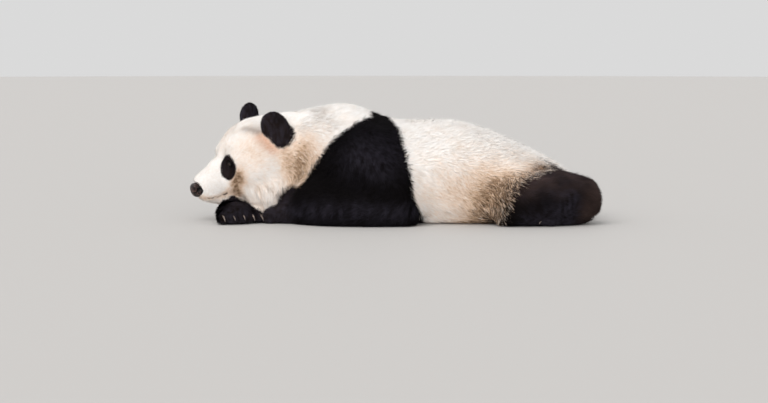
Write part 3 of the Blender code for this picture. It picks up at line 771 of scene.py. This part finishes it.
def unwrap(mesh, labels):
    """Flat charts of the skin's own shape: one for each node and each way its faces look."""
    starts = read(mesh.polygons, "loop_start", 1, np.int32)
    totals = read(mesh.polygons, "loop_total", 1, np.int32)
    normals = read(mesh.polygons, "normal", 3)
    corners = read(mesh.loops, "vertex_index", 1, np.int32)
    points = read(mesh.vertices, "co", 3)
    axis = np.argmax(np.abs(normals), axis=1)
    chart = labels[corners[starts]] * 6 + axis * 2 + (normals[np.arange(len(axis)), axis] > 0)
    of_corner = np.repeat(chart, totals)
    uv = np.zeros((len(corners), 2))
    sizes = {}
    for number in np.unique(chart):
        here = of_corner == number
        kept = [i for i in range(3) if i != (number % 6) // 2]
        flat = points[corners[here]][:, kept]
        uv[here] = flat - flat.min(0)
        sizes[number] = np.ptp(flat, axis=0)
    margin = 0.02
    width = math.sqrt(sum((s[0] + margin) * (s[1] + margin) for s in sizes.values())) * 1.12
    left = bottom = top = 0.0
    for number, size in sorted(sizes.items(), key=lambda item: -item[1][1]):
        if left + size[0] + margin > width:
            left, bottom = 0.0, top
        uv[of_corner == number] += (left + margin / 2, bottom + margin / 2)
        left += size[0] + margin
        top = max(top, bottom + size[1] + margin)
    uv /= max(width, top)
    layer = mesh.uv_layers.new(name="OFBake")
    layer.data.foreach_set("uv", uv.astype(np.float32).ravel())


def shape_ear(moved, measures, world, here, side):
    """Hollows an ear, fills out its rear rim and draws that in at the foot. Changes moved."""
    axes = np.array(ear_frame(side).to_3x3())
    local = into(ear_frame(side), world)
    reach = np.hypot(local[:, 0] / 0.046, (local[:, 1] - 0.004) / 0.050)
    hollow = EAR_HOLLOW * ease(reach, 1.0, 0.25) * ease(local[:, 2], 0.0, 0.012) * here
    rear = ease(local[:, 0] * side, 0.004, 0.034) * here
    high = ease(local[:, 1], 0.005, 0.040)
    foot = ease(local[:, 1], -0.012, -0.036)
    moved += axes[:, 1] * (EAR_RISE[side] * ease(local[:, 1], 0.0, 0.03) * here)[:, None]
    moved += axes[:, 1] * (EAR_WAIST * rear * high)[:, None]
    turn = np.arctan2(local[:, 1], local[:, 0] * side)
    full = EAR_FULL * bell(turn, 0.30, 0.60) * np.minimum(reach, 1.2) ** 2 * here
    moved += full[:, None] * (unit(local * (1.0, 1.0, 0.0)) @ axes.T)
    moved -= axes[:, 0] * side * (EAR_WAIST * rear * foot)[:, None]
    moved -= axes[:, 2] * hollow[:, None]
    measures[:, 1] *= 1 - 0.45 * rear * foot


class PANDA_OT_skin(bpy.types.Operator):
    """One skin over trunk, head and limbs, inside the solids by the depth of the coat"""
    bl_idname = "panda.skin"
    bl_label = "Skin"

    def execute(self, context):
        obj = joined_flesh()
        head_matrix = head_frame()

        def near_face(middles, level):
            head = into(head_matrix, middles)
            if level == 0:
                return (head[:, 0] > 0.085) & (np.abs(head[:, 1]) < 0.15) & (
                    head[:, 2] > -0.17) & (head[:, 0] < 0.40)
            return (eye_distance(middles) < 0.032) | (mouth_distance(head) < 0.014)

        refine(obj.data, near_face, 2)
        surface = Surface(obj.data)
        world = surface.points
        points = world - np.array(shift())
        head = into(head_matrix, world)
        labels = node_labels(world)
        normals = unit(surface.spread(surface.normals, 4))
        measures = surface.spread(coat_measures(points, world, head, labels), 22)
        # Small parts are too small for that much blending
        fine = surface.spread(coat_measures(points, world, head, labels), 4)
        close = np.maximum(muzzle_share(head), ease(eye_distance(world), 0.07, 0.04))
        close = (close * (labels == LABEL["head"]))[:, None]
        measures = measures * (1 - close) + fine * close
        depth = measures[:, 0]
        resting = ease(-normals[:, 2], 0.4, 0.85) * ease(points[:, 2], 0.030, 0.008)
        depth *= 1 - resting
        moved = world - normals * depth[:, None]
        socket = SOCKET_DEPTH * np.exp(-(eye_distance(world) / 0.030) ** 2)
        moved -= normals * socket[:, None]
        for node, side in (("ear_left", 1), ("ear_right", -1)):
            shape_ear(moved, measures, world, labels == LABEL[node], side)
        fold = MOUTH_FOLD * np.exp(-(mouth_distance(head) / MOUTH_FOLD) ** 2)
        moved -= normals * (fold * (labels == LABEL["head"]))[:, None]
        moved = moved * 0.3 + surface.spread(moved, 2) * 0.7
        # The joint of neck and trunk lies under flesh and shows no dent
        joint = of_nodes(labels, "neck", "trunk").astype(float)
        joint = ease(surface.spread(joint, 20), 0.80, 0.98)[:, None]
        joint = joint * ease(points[:, 2:3], 0.05, 0.12)
        moved = moved * (1 - joint) + surface.spread(moved, JOINT_ROUNDS) * joint
        moved[:, 2] = np.maximum(moved[:, 2], SKIN_FLOOR)
        obj.data.vertices.foreach_set("co", moved.astype(np.float32).ravel())
        obj.data.update()

        lie = unit(hair_lie(points, world, head, labels, normals))
        ears = on_ear(world, labels)
        crisp = (labels == LABEL["head"]) | (ears > 0)
        crisp = surface.spread(crisp.astype(float), 6)[:, None]
        lie = surface.spread(lie, 14) * crisp + surface.spread(lie, 60) * (1 - crisp)
        lie = unit(lie - normals * (lie * normals).sum(1, keepdims=True))
        # A hair shows its colour past its root, where its outer half lies
        seen = world + lie * measures[:, 1:2] * SEEN
        dark, tan, rust, umber, shadow, sheen_and_lock_tone = paint(
            seen - np.array(shift()), into(head_matrix, seen), labels, ears)
        fields = {"dark": surface.spread(dark, 1), "tan": surface.spread(tan, 3),
                  "rust": surface.spread(rust, 1), "umber": umber,
                  "shadow": surface.spread(shadow, 2), "sheen_and_lock_tone": surface.spread(sheen_and_lock_tone, 2),
                  "length": measures[:, 1], "width": measures[:, 2], "depth": depth,
                  "label": labels.astype(float)}
        dense = measures[:, 3] * (1 - 0.93 * resting)
        dense *= ease(eye_distance(world), 0.0115, 0.0145)
        nose = np.linalg.norm((head - np.array(PAD_PLACE)) / np.array(NOSE_RADII), axis=1)
        dense *= ease(nose, 1.0, 1.08)
        dense *= 1 - 0.9 * np.exp(-(mouth_distance(head) / 0.0028) ** 2)
        fields["density"] = dense
        random = np.random.default_rng(context.scene.panda_coat.seed)
        swirl = surface.spread(random.normal(size=(len(points), 4)), 70)
        swirl /= swirl.std(axis=0)
        angle = SWIRL * swirl[:, :1]
        fields["lie"] = lie * np.cos(angle) + np.cross(normals, lie) * np.sin(angle)
        # Hair levels out small dents, and where it hangs it looks outwards, not down
        levelled = unit(surface.spread(normals, 30)) * (1 - crisp) + normals * crisp
        levelled[:, 2] *= np.where(levelled[:, 2] < 0, 0.12, 1.0)
        fields["shade"] = unit(levelled)
        fields["warp"] = swirl[:, 1:]
        for name, values in fields.items():
            write_attribute(obj.data, name, values)
        unwrap(obj.data, labels)
        finish_piece(obj, make_skin_material(), "white_coat", *FLESH)
        return {"FINISHED"}


# ---------------------------------------------------------------- the coat
def scatter(skin, total_share, random):
    """Evenly spread root points on the skin, with everything the skin knows about them."""
    mesh = skin.data
    mesh.calc_loop_triangles()
    corners = read(mesh.loop_triangles, "vertices", 3, np.int32)
    loops = read(mesh.loop_triangles, "loops", 3, np.int32)
    points = read(mesh.vertices, "co", 3).astype(float)
    a, b, c = (points[corners[:, i]] for i in range(3))
    area = np.linalg.norm(np.cross(b - a, c - a), axis=1) / 2
    dense = read_attribute(mesh, "density")[corners].mean(1) * total_share
    heap = np.cumsum(area * dense)
    number = int(heap[-1])
    picks = (np.arange(number) + random.random(number)) / number * heap[-1]
    face = np.minimum(np.searchsorted(heap, picks), len(corners) - 1)
    u, v = random.random((2, number))
    over = u + v > 1
    u[over], v[over] = 1 - u[over], 1 - v[over]
    weights = np.stack((1 - u - v, u, v), 1)

    def at_roots(values):
        picked = values[corners[face]]
        if values.ndim == 1:
            return (picked * weights).sum(1)
        return (picked * weights[:, :, None]).sum(1)

    uv = read(mesh.uv_layers["OFBake"].data, "uv", 2)
    roots = {"root": at_roots(points),
             "normal": unit(at_roots(read(mesh.vertex_normals, "vector", 3).astype(float))),
             "uv": (uv[loops[face]] * weights[:, :, None]).sum(1)}
    for name in (*TINTS, "length", "width", "depth"):
        roots[name] = at_roots(read_attribute(mesh, name))
    for name in ("lie", "warp", "shade"):
        roots[name] = at_roots(read_attribute(mesh, name, 3).astype(float))
    roots["label"] = read_attribute(mesh, "label")[corners[face, 0]].astype(int)
    return roots


def clumped(roots, tips, random):
    """Draws the tips of neighbouring tufts together into locks of a few millimetres."""
    least, most = LOCK_SIZES
    size = np.clip(roots["length"] * 0.28, least, most)
    size = least * np.exp2(np.round(np.log2(size / least) * 2) / 2)
    cells = np.floor((roots["root"] + roots["warp"] * size[:, None] * 0.55) / size[:, None])
    cells = cells.astype(np.int64) + 2000
    key = ((cells[:, 0] * 4001 + cells[:, 1]) * 4001 + cells[:, 2]) * 16
    key += np.round(size * 1000).astype(np.int64)
    _, lock = np.unique(key, return_inverse=True)
    count = np.bincount(lock)
    gathered = np.stack([np.bincount(lock, tips[:, i]) / count for i in range(3)], 1)
    pull = 0.06 + 0.24 * random.random(len(count))
    tone = 0.55 * random.random(len(count))[lock] + 0.45 * random.random(len(lock))
    return tips + (gathered[lock] - tips) * pull[lock][:, None], tone


def tufts(roots, random):
    """Four corners of every tuft: root, left, right and tip, with their normals."""
    number = len(roots["root"])
    normal = roots["normal"]
    lie = unit(roots["lie"] - normal * (roots["lie"] * normal).sum(1, keepdims=True))
    angle = random.normal(0.0, 0.20, number)[:, None]
    lie = lie * np.cos(angle) + np.cross(normal, lie) * np.sin(angle)
    length = (roots["length"] * random.uniform(0.70, 1.12, number))[:, None]
    height = (roots["depth"] * (0.40 + 0.62 * random.random(number) ** 0.8))[:, None]
    # Some tufts stand off and make the soft edge of the outline, furthest along the rump
    stray = random.random(number)[:, None] < STRAYS
    rump = ease(roots["root"][:, :1], 0.06, 0.28) * (roots["label"][:, None] == LABEL["trunk"])
    height += stray * (0.002 + (0.24 + 0.34 * rump) * roots["length"][:, None]) * (
        random.random((number, 1)))
    height = np.minimum(height, length * 0.80)
    run = np.sqrt(length ** 2 - height ** 2)
    root = roots["root"] - normal * ROOT_SUNK
    tip = root + lie * run + normal * (height + ROOT_SUNK)
    tip, lock = clumped(roots, tip, random)
    middle = root + (tip - root) * BEND + normal * height * 0.22
    roll = random.uniform(-0.7, 0.7, number)[:, None]
    side = unit(np.cross(unit(tip - root), normal))
    # On the top of the body the tufts turn their upper sides outwards, left and right
    outward = side[:, 1:2] * np.sign(root[:, 1:2])
    turned = random.random((number, 1)) < 0.9 * ease(normal[:, 2:3], 0.70, 0.95)
    roll = np.where(turned, -np.abs(roll) * np.sign(outward), roll)
    side = side * np.cos(roll) + normal * np.sin(roll)
    half = (roots["width"] * random.uniform(0.35, 0.62, number))[:, None]
    corners = np.stack((root, middle - side * half, middle + side * half, tip), 1)
    corners[:, :, 2] = np.maximum(corners[:, :, 2], TUFT_FLOOR)
    leaned = unit(roots["shade"] + 0.14 * random.normal(size=(number, 3)))
    facing = np.stack((leaned, unit(leaned - side * 0.5), unit(leaned + side * 0.5),
                       unit(leaned + lie * 0.3)), 1)
    return corners, facing, lock


def tuft_mesh(name, roots, corners, facing, lock, picked):
    """One coat piece: two triangles to a tuft."""
    count = len(picked)
    mesh = bpy.data.meshes.new(name)
    mesh.vertices.add(count * 4)
    mesh.vertices.foreach_set("co", corners[picked].astype(np.float32).ravel())
    first = np.arange(count)[:, None] * 4
    faces = np.concatenate((first + np.array([[0, 2, 1]]), first + np.array([[1, 2, 3]])), 1)
    faces = faces.astype(np.int32).ravel()
    mesh.loops.add(len(faces))
    mesh.loops.foreach_set("vertex_index", faces)
    mesh.polygons.add(count * 2)
    mesh.polygons.foreach_set("loop_start", np.arange(0, len(faces), 3, dtype=np.int32))
    mesh.update(calc_edges=True)
    write_attribute(mesh, "custom_normal", facing[picked].reshape(-1, 3))
    write_attribute(mesh, "root", np.repeat(roots["root"][picked], 4, axis=0))
    write_attribute(mesh, "tip", np.tile((0.0, 0.5, 0.5, 1.0), count))
    write_attribute(mesh, "tuft", np.repeat(lock[picked], 4))
    for tint in TINTS:
        write_attribute(mesh, tint, np.repeat(roots[tint][picked], 4))
    patch = np.array(((0.0, -0.5), (-0.5, 0.0), (0.5, 0.0), (0.0, 0.5))) * PATCH
    uv = (roots["uv"][picked][:, None, :] + patch).reshape(-1, 2)
    layer = mesh.uv_layers.new(name="OFBake")
    layer.data.foreach_set("uv", uv[faces].astype(np.float32).ravel())
    return mesh


class PANDA_OT_coat(bpy.types.Operator):
    """Tufts of hair over the whole skin, in one piece or more for each part of the body"""
    bl_idname = "panda.coat"
    bl_label = "Coat"

    def execute(self, context):
        coat = context.scene.panda_coat
        random = np.random.default_rng(coat.seed)
        share = coat.density * 1.0
        roots = scatter(bpy.data.objects["skin"], share, random)
        # The edge of a marking is ragged: each tuft is one colour or nearly so
        ragged = 0.16 + 0.16 * ease(roots["root"][:, 0], 0.15, 0.30)
        jitter = random.normal(0.0, 1.0, len(roots["dark"])) * ragged
        roots["dark"] = ease(roots["dark"] + jitter * (np.abs(roots["dark"] - 0.5) < 0.49),
                             0.38, 0.62)
        grain = random.normal(0.0, 1.0, len(jitter)) * (0.04 + 0.16 * roots["tan"])
        roots["tan"] = np.clip(roots["tan"] + grain, 0, 1)
        roots["rust"] = np.clip(roots["rust"] * random.uniform(0.4, 1.3, len(jitter)), 0, 1)
        corners, facing, lock = tufts(roots, random)
        # Some locks of the longest hair get painted shade, as if they lay deeper than their neighbours
        deep_lock_shade = ease(roots["length"], 0.040, 0.056) * ease(lock, 0.42, 0.25)
        roots["shadow"] = np.clip(roots["shadow"] + 0.55 * deep_lock_shade, 0, 1)
        material = make_hair_material()
        for node in FLESH:
            here = np.flatnonzero(roots["label"] == LABEL[node])
            here = here[np.argsort(roots["root"][here, 0], kind="stable")]
            parts = max(1, math.ceil(len(here) / PIECE_TUFTS))
            slot = "white_coat" if node in ("trunk", "neck", "head", "tail") else "black_coat"
            for number, picked in enumerate(np.array_split(here, parts), 1):
                name = f"coat_{node}" + (f"_{number}" if parts > 1 else "")
                obj = object_from(name, tuft_mesh(name, roots, corners, facing, lock, picked))
                finish_piece(obj, material, slot)
        return {"FINISHED"}


# ---------------------------------------------------------------- the face
def ring_mesh(name, rings, closed_rings=True):
    """A closed loft: rings of points, and the last ring joined to the first if asked."""
    count = len(rings[0])
    bm = bmesh.new()
    verts = [[bm.verts.new(point) for point in ring] for ring in rings]
    pairs = list(zip(verts, verts[1:]))
    if closed_rings:
        pairs.append((verts[-1], verts[0]))
    for ring, following in pairs:
        for i in range(count):
            j = (i + 1) % count
            bm.faces.new((ring[i], ring[j], following[j], following[i]))
    if not closed_rings:
        bm.faces.new(verts[0])
        bm.faces.new(verts[-1])
    bmesh.ops.recalc_face_normals(bm, faces=bm.faces)
    return mesh_from(bm, name)


def look_matrix(side):
    """A frame on an eye: Z along the gaze, Y upwards along the face, X to the animal's left."""
    forward = gaze(side)
    up = head_turn() @ Vector((0, 0, 1))
    across = up.cross(forward).normalized()
    up = forward.cross(across)
    turn = Matrix((across, up, forward)).transposed()
    return Matrix.Translation(eye_place(side)) @ turn.to_4x4()


class PANDA_OT_eyes(bpy.types.Operator):
    """Eyeballs with a domed cornea, and lids round an almond opening"""
    bl_idname = "panda.eyes"
    bl_label = "Eyes"

    def execute(self, context):
        radius = context.scene.panda_face.eye
        wet = make_eye_material()
        lid_skin = make_bare_material("eyelid_skin", "070505", "120D0C", 0.65, 400.0)
        for name, side in (("left", 1), ("right", -1)):
            place = look_matrix(side)
            bm = bmesh.new()
            bmesh.ops.create_uvsphere(bm, u_segments=48, v_segments=32, radius=radius)
            polar = []
            for vertex in bm.verts:
                angle = vertex.co.angle(Vector((0, 0, 1)))
                vertex.co *= 1 + 0.055 * float(ease(angle, 0.62, 0.0))
                polar.append(angle)
            bm.transform(place)
            mesh = mesh_from(bm, f"eyeball_{name}")
            write_attribute(mesh, "polar", np.array(polar))
            ball = object_from(f"eyeball_{name}", mesh)
            finish_piece(ball, wet, "eye_brown", f"eye_{name}")
            rings = []
            for step in range(LID_STEPS):
                turn = 2 * math.pi * step / LID_STEPS
                wide = 0.80 * abs(math.cos(turn)) ** 1.25
                tall = (0.30 if math.sin(turn) > 0 else 0.34) * abs(math.sin(turn)) ** 1.1
                opening = math.hypot(wide, tall)
                tilt = turn - math.radians(LID_TILT) * side
                ring = []
                for spread, out in LID_PROFILE:
                    angle = min(opening * spread if spread <= 1.2 else 0.62 + 0.55 * (spread - 1),
                                1.6)
                    angle = max(angle, opening * min(spread, 1.16))
                    flat = Vector((math.cos(tilt), math.sin(tilt), 0)) * math.sin(angle)
                    ring.append(place @ ((flat + Vector((0, 0, math.cos(angle))))
                                         * radius * out))
                rings.append(ring)
            lids = object_from(f"eyelids_{name}", ring_mesh(f"eyelids_{name}", rings))
            finish_piece(lids, lid_skin, "black_coat")
        return {"FINISHED"}


class PANDA_OT_nose(bpy.types.Operator):
    """The bare nose pad with two nostrils and the groove below it"""
    bl_idname = "panda.nose"
    bl_label = "Nose"

    def execute(self, context):
        bm = bmesh.new()
        bmesh.ops.create_icosphere(bm, subdivisions=6, radius=1.0)
        sphere = np.array([vertex.co[:] for vertex in bm.verts])
        # A sphere swollen a little towards a box
        swollen = sphere * np.maximum(np.abs(sphere), 1e-6) ** -0.12
        points = swollen * np.array(NOSE_RADII) * 1.04
        low = ease(-sphere[:, 2], -0.3, 0.9)
        points[:, 1] *= 1.08 - 0.58 * low
        points[:, 0] *= 1 - 0.55 * low * (points[:, 0] < 0)
        points[:, 2] = np.minimum(points[:, 2], 0.019 + 0.12 * (points[:, 2] - 0.019))
        front = ease(sphere[:, 0], -0.90, -0.50)
        around = np.arctan2(np.abs(sphere[:, 1]), sphere[:, 0])
        z = points[:, 2]
        # A nostril: a round pit in front, drawn out into a slit that runs back on the side
        pit = np.exp(-((around - 1.28) / 0.34) ** 2 - ((z - 0.0065) / 0.0075) ** 2)
        slit = np.exp(-((around - 1.80) / 0.45) ** 2
                      - ((z - 0.0105 - 0.004 * (around - 1.6)) / 0.0055) ** 2)
        pit = np.clip(pit + 0.8 * slit, 0, 1) * front
        groove = np.exp(-(points[:, 1] / 0.0014) ** 2) * ease(z, 0.004, -0.004) * front
        points[:, 0] -= 0.0018 * groove
        points[:, :2] *= 1 - 0.27 * pit[:, None]
        for vertex, point in zip(bm.verts, points):
            vertex.co = head_frame() @ (PAD_PLACE + Vector(point))
        mesh = mesh_from(bm, "nose_pad")
        # The pit share darkens nostrils and groove in the material: painted shade
        write_attribute(mesh, "pit", np.clip(pit * 1.3 + groove * 0.5, 0, 1))
        finish_piece(object_from("nose_pad", mesh), make_nose_material(), "nose_leather", "nose")
        return {"FINISHED"}


class PANDA_OT_lips(bpy.types.Operator):
    """The dark rim of the closed mouth, let into the fold of the skin"""
    bl_idname = "panda.lips"
    bl_label = "Lips"

    def execute(self, context):
        skin = bpy.data.objects["skin"]
        tree = BVHTree.FromObject(skin, context.evaluated_depsgraph_get())
        right = [(x, -y, z) for x, y, z in reversed(MOUTH[1:])]
        knots = out_of(head_frame(), np.array(right + list(MOUTH)))
        path = []
        for a, b in zip(knots, knots[1:]):
            path.extend(a + (b - a) * share for share in np.linspace(0, 1, 8, endpoint=False))
        path.append(knots[-1])
        path = [tree.find_nearest(Vector(point))[:2] for point in path]
        rings = []
        for number, (point, normal) in enumerate(path):
            before = path[max(number - 1, 0)][0]
            after = path[min(number + 1, len(path) - 1)][0]
            way = (after - before).normalized()
            across = way.cross(normal).normalized()
            thin = 0.0019 * float(ease(min(number, len(path) - 1 - number), -1, 7)) + 0.0002
            thin *= 0.45 + 0.55 * float(ease(abs(number - (len(path) - 1) / 2), 10, 20))
            middle = point - normal * 0.0004
            rings.append([middle + (across * math.cos(t) * 1.25 + normal * math.sin(t)) * thin
                          for t in np.linspace(0, 2 * math.pi, 10, endpoint=False)])
        obj = object_from("lips", ring_mesh("lips", rings, closed_rings=False))
        lip_skin = make_bare_material("lip_skin", "1C110D", "40291F", 0.45, 300.0)
        finish_piece(obj, lip_skin, "nose_leather")
        return {"FINISHED"}


# ---------------------------------------------------------------- claws
def claw_mesh(length):
    """One claw: a tapering, downward hooked cone, along X from its root."""
    rings = []
    for step in range(9):
        share = step / 8
        angle = 1.15 * share
        middle = Vector((math.sin(angle), 0, math.cos(angle) - 1)) * length / 0.95
        along = Vector((math.cos(angle), 0, -math.sin(angle)))
        up = Vector((0, 1, 0)).cross(along) * -1
        radius = 0.0050 * (1 - share) ** 0.62 + 0.0003
        rings.append([middle + (Vector((0, 1, 0)) * math.cos(t) * 0.62 + up * math.sin(t)) * radius
                      for t in np.linspace(0, 2 * math.pi, 10, endpoint=False)])
    return ring_mesh("claw", rings, closed_rings=False)


def claw_tree(material):
    """Geometry Nodes: a claw on each point, turned by the point's own aim."""
    tree = bpy.data.node_groups.new("claws_on_toes", "GeometryNodeTree")
    for name, kind in (("Geometry", "Geometry"), ("Claw", "Object"), ("Size", "Float")):
        socket = tree.interface.new_socket(name, in_out="INPUT", socket_type=f"NodeSocket{kind}")
    socket.default_value = 1.0
    tree.interface.new_socket("Geometry", in_out="OUTPUT", socket_type="NodeSocketGeometry")
    entry = add(tree, "NodeGroupInput")
    claw = add(tree, "GeometryNodeObjectInfo", {"Object": entry.outputs["Claw"]})
    aim = add(tree, "GeometryNodeInputNamedAttribute", {"Name": "aim"}, data_type="FLOAT_VECTOR")
    part = add(tree, "GeometryNodeInputNamedAttribute", {"Name": "part"}, data_type="FLOAT")
    grown = add(tree, "Math", (entry.outputs["Size"], part.outputs["Attribute"]),
                operation="MULTIPLY")
    placed = add(tree, "GeometryNodeInstanceOnPoints", {
        "Points": entry.outputs["Geometry"], "Instance": claw.outputs["Geometry"],
        "Rotation": aim.outputs["Attribute"], "Scale": grown})
    real = add(tree, "GeometryNodeRealizeInstances", (placed,))
    dressed = add(tree, "GeometryNodeSetMaterial", {"Geometry": real, "Material": material})
    add(tree, "NodeGroupOutput", (dressed,))
    return tree


def make_claw_material():
    """Claw horn: grey brown mottled with paler horn, in patches a few millimetres across."""
    material, tree = new_material("claw_horn")
    streak = add(tree, "TexNoise", {"Vector": add(tree, "TexCoord"), "Scale": 260.0,
                                    "Detail": 3.0})
    colour = add(tree, "ValToRGB", (streak,), ((0.3, "352C28"), (0.7, "94857B")))
    finish_material(tree, {"Base Color": colour, "Roughness": 0.38})
    return material


def toe_tips():
    """For each toe of every paw: where its claw starts and the way it points, in the world."""
    tips = []
    for x, y, heading, length, width, height in PAWS.values():
        for number in range(TOES):
            spread = number - (TOES - 1) / 2
            angle = math.radians(heading + spread * TOE_FAN)
            across = math.radians(heading + 90)
            reach = length * (0.84 - 0.030 * spread ** 2)
            way = Vector((math.cos(angle), math.sin(angle), 0))
            side = Vector((math.cos(across), math.sin(across), 0)) * spread * width * 0.175
            tip = Vector((x, y, height * 0.40)) + way * (reach - 0.002) + side
            # No two claws lie quite alike
            angle += 0.16 * math.sin(7.3 * number + 2.1 * heading)
            tips.append((tip + shift(), angle))
    return tips


class PANDA_OT_claws(bpy.types.Operator):
    """Five claws on each paw"""
    bl_idname = "panda.claws"
    bl_label = "Claws"

    def execute(self, context):
        length = context.scene.panda_face.claw + 0.012
        claw = object_from("claw_pattern", claw_mesh(length))
        tips = toe_tips()
        mesh = bpy.data.meshes.new("claws")
        mesh.from_pydata([tip for tip, angle in tips], [], [])
        write_attribute(mesh, "aim", np.array([(0.0, 0.0, angle) for tip, angle in tips]))
        write_attribute(mesh, "part", 0.86 + 0.16 * np.sin(5.0 * np.arange(len(tips)) + 0.6))
        obj = object_from("claws", mesh)
        horn = make_claw_material()
        grow = obj.modifiers.new("grow", "NODES")
        grow.node_group = claw_tree(horn)
        for item in grow.node_group.interface.items_tree:
            if item.name == "Claw":
                grow[item.identifier] = claw
        baked(obj)
        bpy.data.objects.remove(claw)
        points = read(obj.data.vertices, "co", 3)
        points[:, 2] = np.maximum(points[:, 2], SKIN_FLOOR)
        obj.data.vertices.foreach_set("co", points.ravel())
        finish_piece(obj, horn, "nose_leather")
        return {"FINISHED"}


# ---------------------------------------------------------------- stage
def add_sun(name, place, strength, spread, colour):
    """A distant soft light that shines from a place towards the animal."""
    data = bpy.data.lights.new(name, "SUN")
    data.energy = strength
    data.angle = spread
    data.color = linear(colour)[:3]
    light = object_from(name, data)
    light.location = place
    light.rotation_euler = (-Vector(place)).to_track_quat("-Z", "Y").to_euler()


class PANDA_OT_stage(bpy.types.Operator):
    """A pale floor, soft lights and the camera"""
    bl_idname = "panda.stage"
    bl_label = "Stage"

    def execute(self, context):
        stage = context.scene.panda_stage
        bm = bmesh.new()
        bmesh.ops.create_circle(bm, cap_ends=True, segments=96, radius=30.0)
        floor = object_from("floor", mesh_from(bm, "floor"))
        material, tree = new_material("painted_floor")
        finish_material(tree, {"Base Color": linear("B8B6B4"), "Roughness": 0.7})
        floor.data.materials.append(material)
        add_sun("key", (-2.0, -3.4, 4.2), 2.05, 0.9, "FFFDFB")
        add_sun("fill", (0.4, -4.8, 0.26), 2.4, 1.2, "FFFCF9")
        world = bpy.data.worlds.new("soft_room")
        world.use_nodes = True
        for number, value in enumerate((linear("E8E8E8"), 0.87)):
            world.node_tree.nodes["Background"].inputs[number].default_value = value
        context.scene.world = world
        data = bpy.data.cameras.new("camera")
        data.lens = stage.lens
        data.sensor_width = 36.0
        camera = object_from("camera", data)
        back = Vector((0, -math.cos(stage.elevation), math.sin(stage.elevation)))
        camera.location = Vector(stage.target) + shift() + back * stage.distance
        camera.rotation_euler = (-back).to_track_quat("-Z", "Y").to_euler()
        context.scene.camera = camera
        context.scene.view_settings.view_transform = "Standard"
        return {"FINISHED"}


# ---------------------------------------------------------------- the add-on
STEPS = (PANDA_OT_skin, PANDA_OT_coat, PANDA_OT_eyes, PANDA_OT_nose, PANDA_OT_lips,
         PANDA_OT_claws, PANDA_OT_stage)
SETTINGS = {"panda_coat": CoatSettings, "panda_face": FaceSettings,
            "panda_colours": ColourSettings, "panda_stage": StageSettings}


class PANDA_PT_panel(bpy.types.Panel):
    bl_label = "Giant Panda"
    bl_idname = "PANDA_PT_panel"
    bl_space_type = "VIEW_3D"
    bl_region_type = "UI"
    bl_category = "Panda"

    def draw(self, context):
        for name, kind in SETTINGS.items():
            box = self.layout.box()
            for key in kind.__annotations__:
                box.prop(getattr(context.scene, name), key)
        for step in STEPS:
            self.layout.operator(step.bl_idname)


def register():
    for kind in (*SETTINGS.values(), *STEPS, PANDA_PT_panel):
        bpy.utils.register_class(kind)
    for name, kind in SETTINGS.items():
        setattr(bpy.types.Scene, name, PointerProperty(type=kind))


def unregister():
    for name in SETTINGS:
        delattr(bpy.types.Scene, name)
    for kind in (PANDA_PT_panel, *STEPS, *reversed(list(SETTINGS.values()))):
        bpy.utils.unregister_class(kind)


def main():
    register()
    bpy.ops.panda.skin()
    bpy.ops.panda.coat()
    bpy.ops.panda.eyes()
    bpy.ops.panda.nose()
    bpy.ops.panda.lips()
    bpy.ops.panda.claws()
    bpy.ops.panda.stage()


if __name__ == "__main__":
    main()
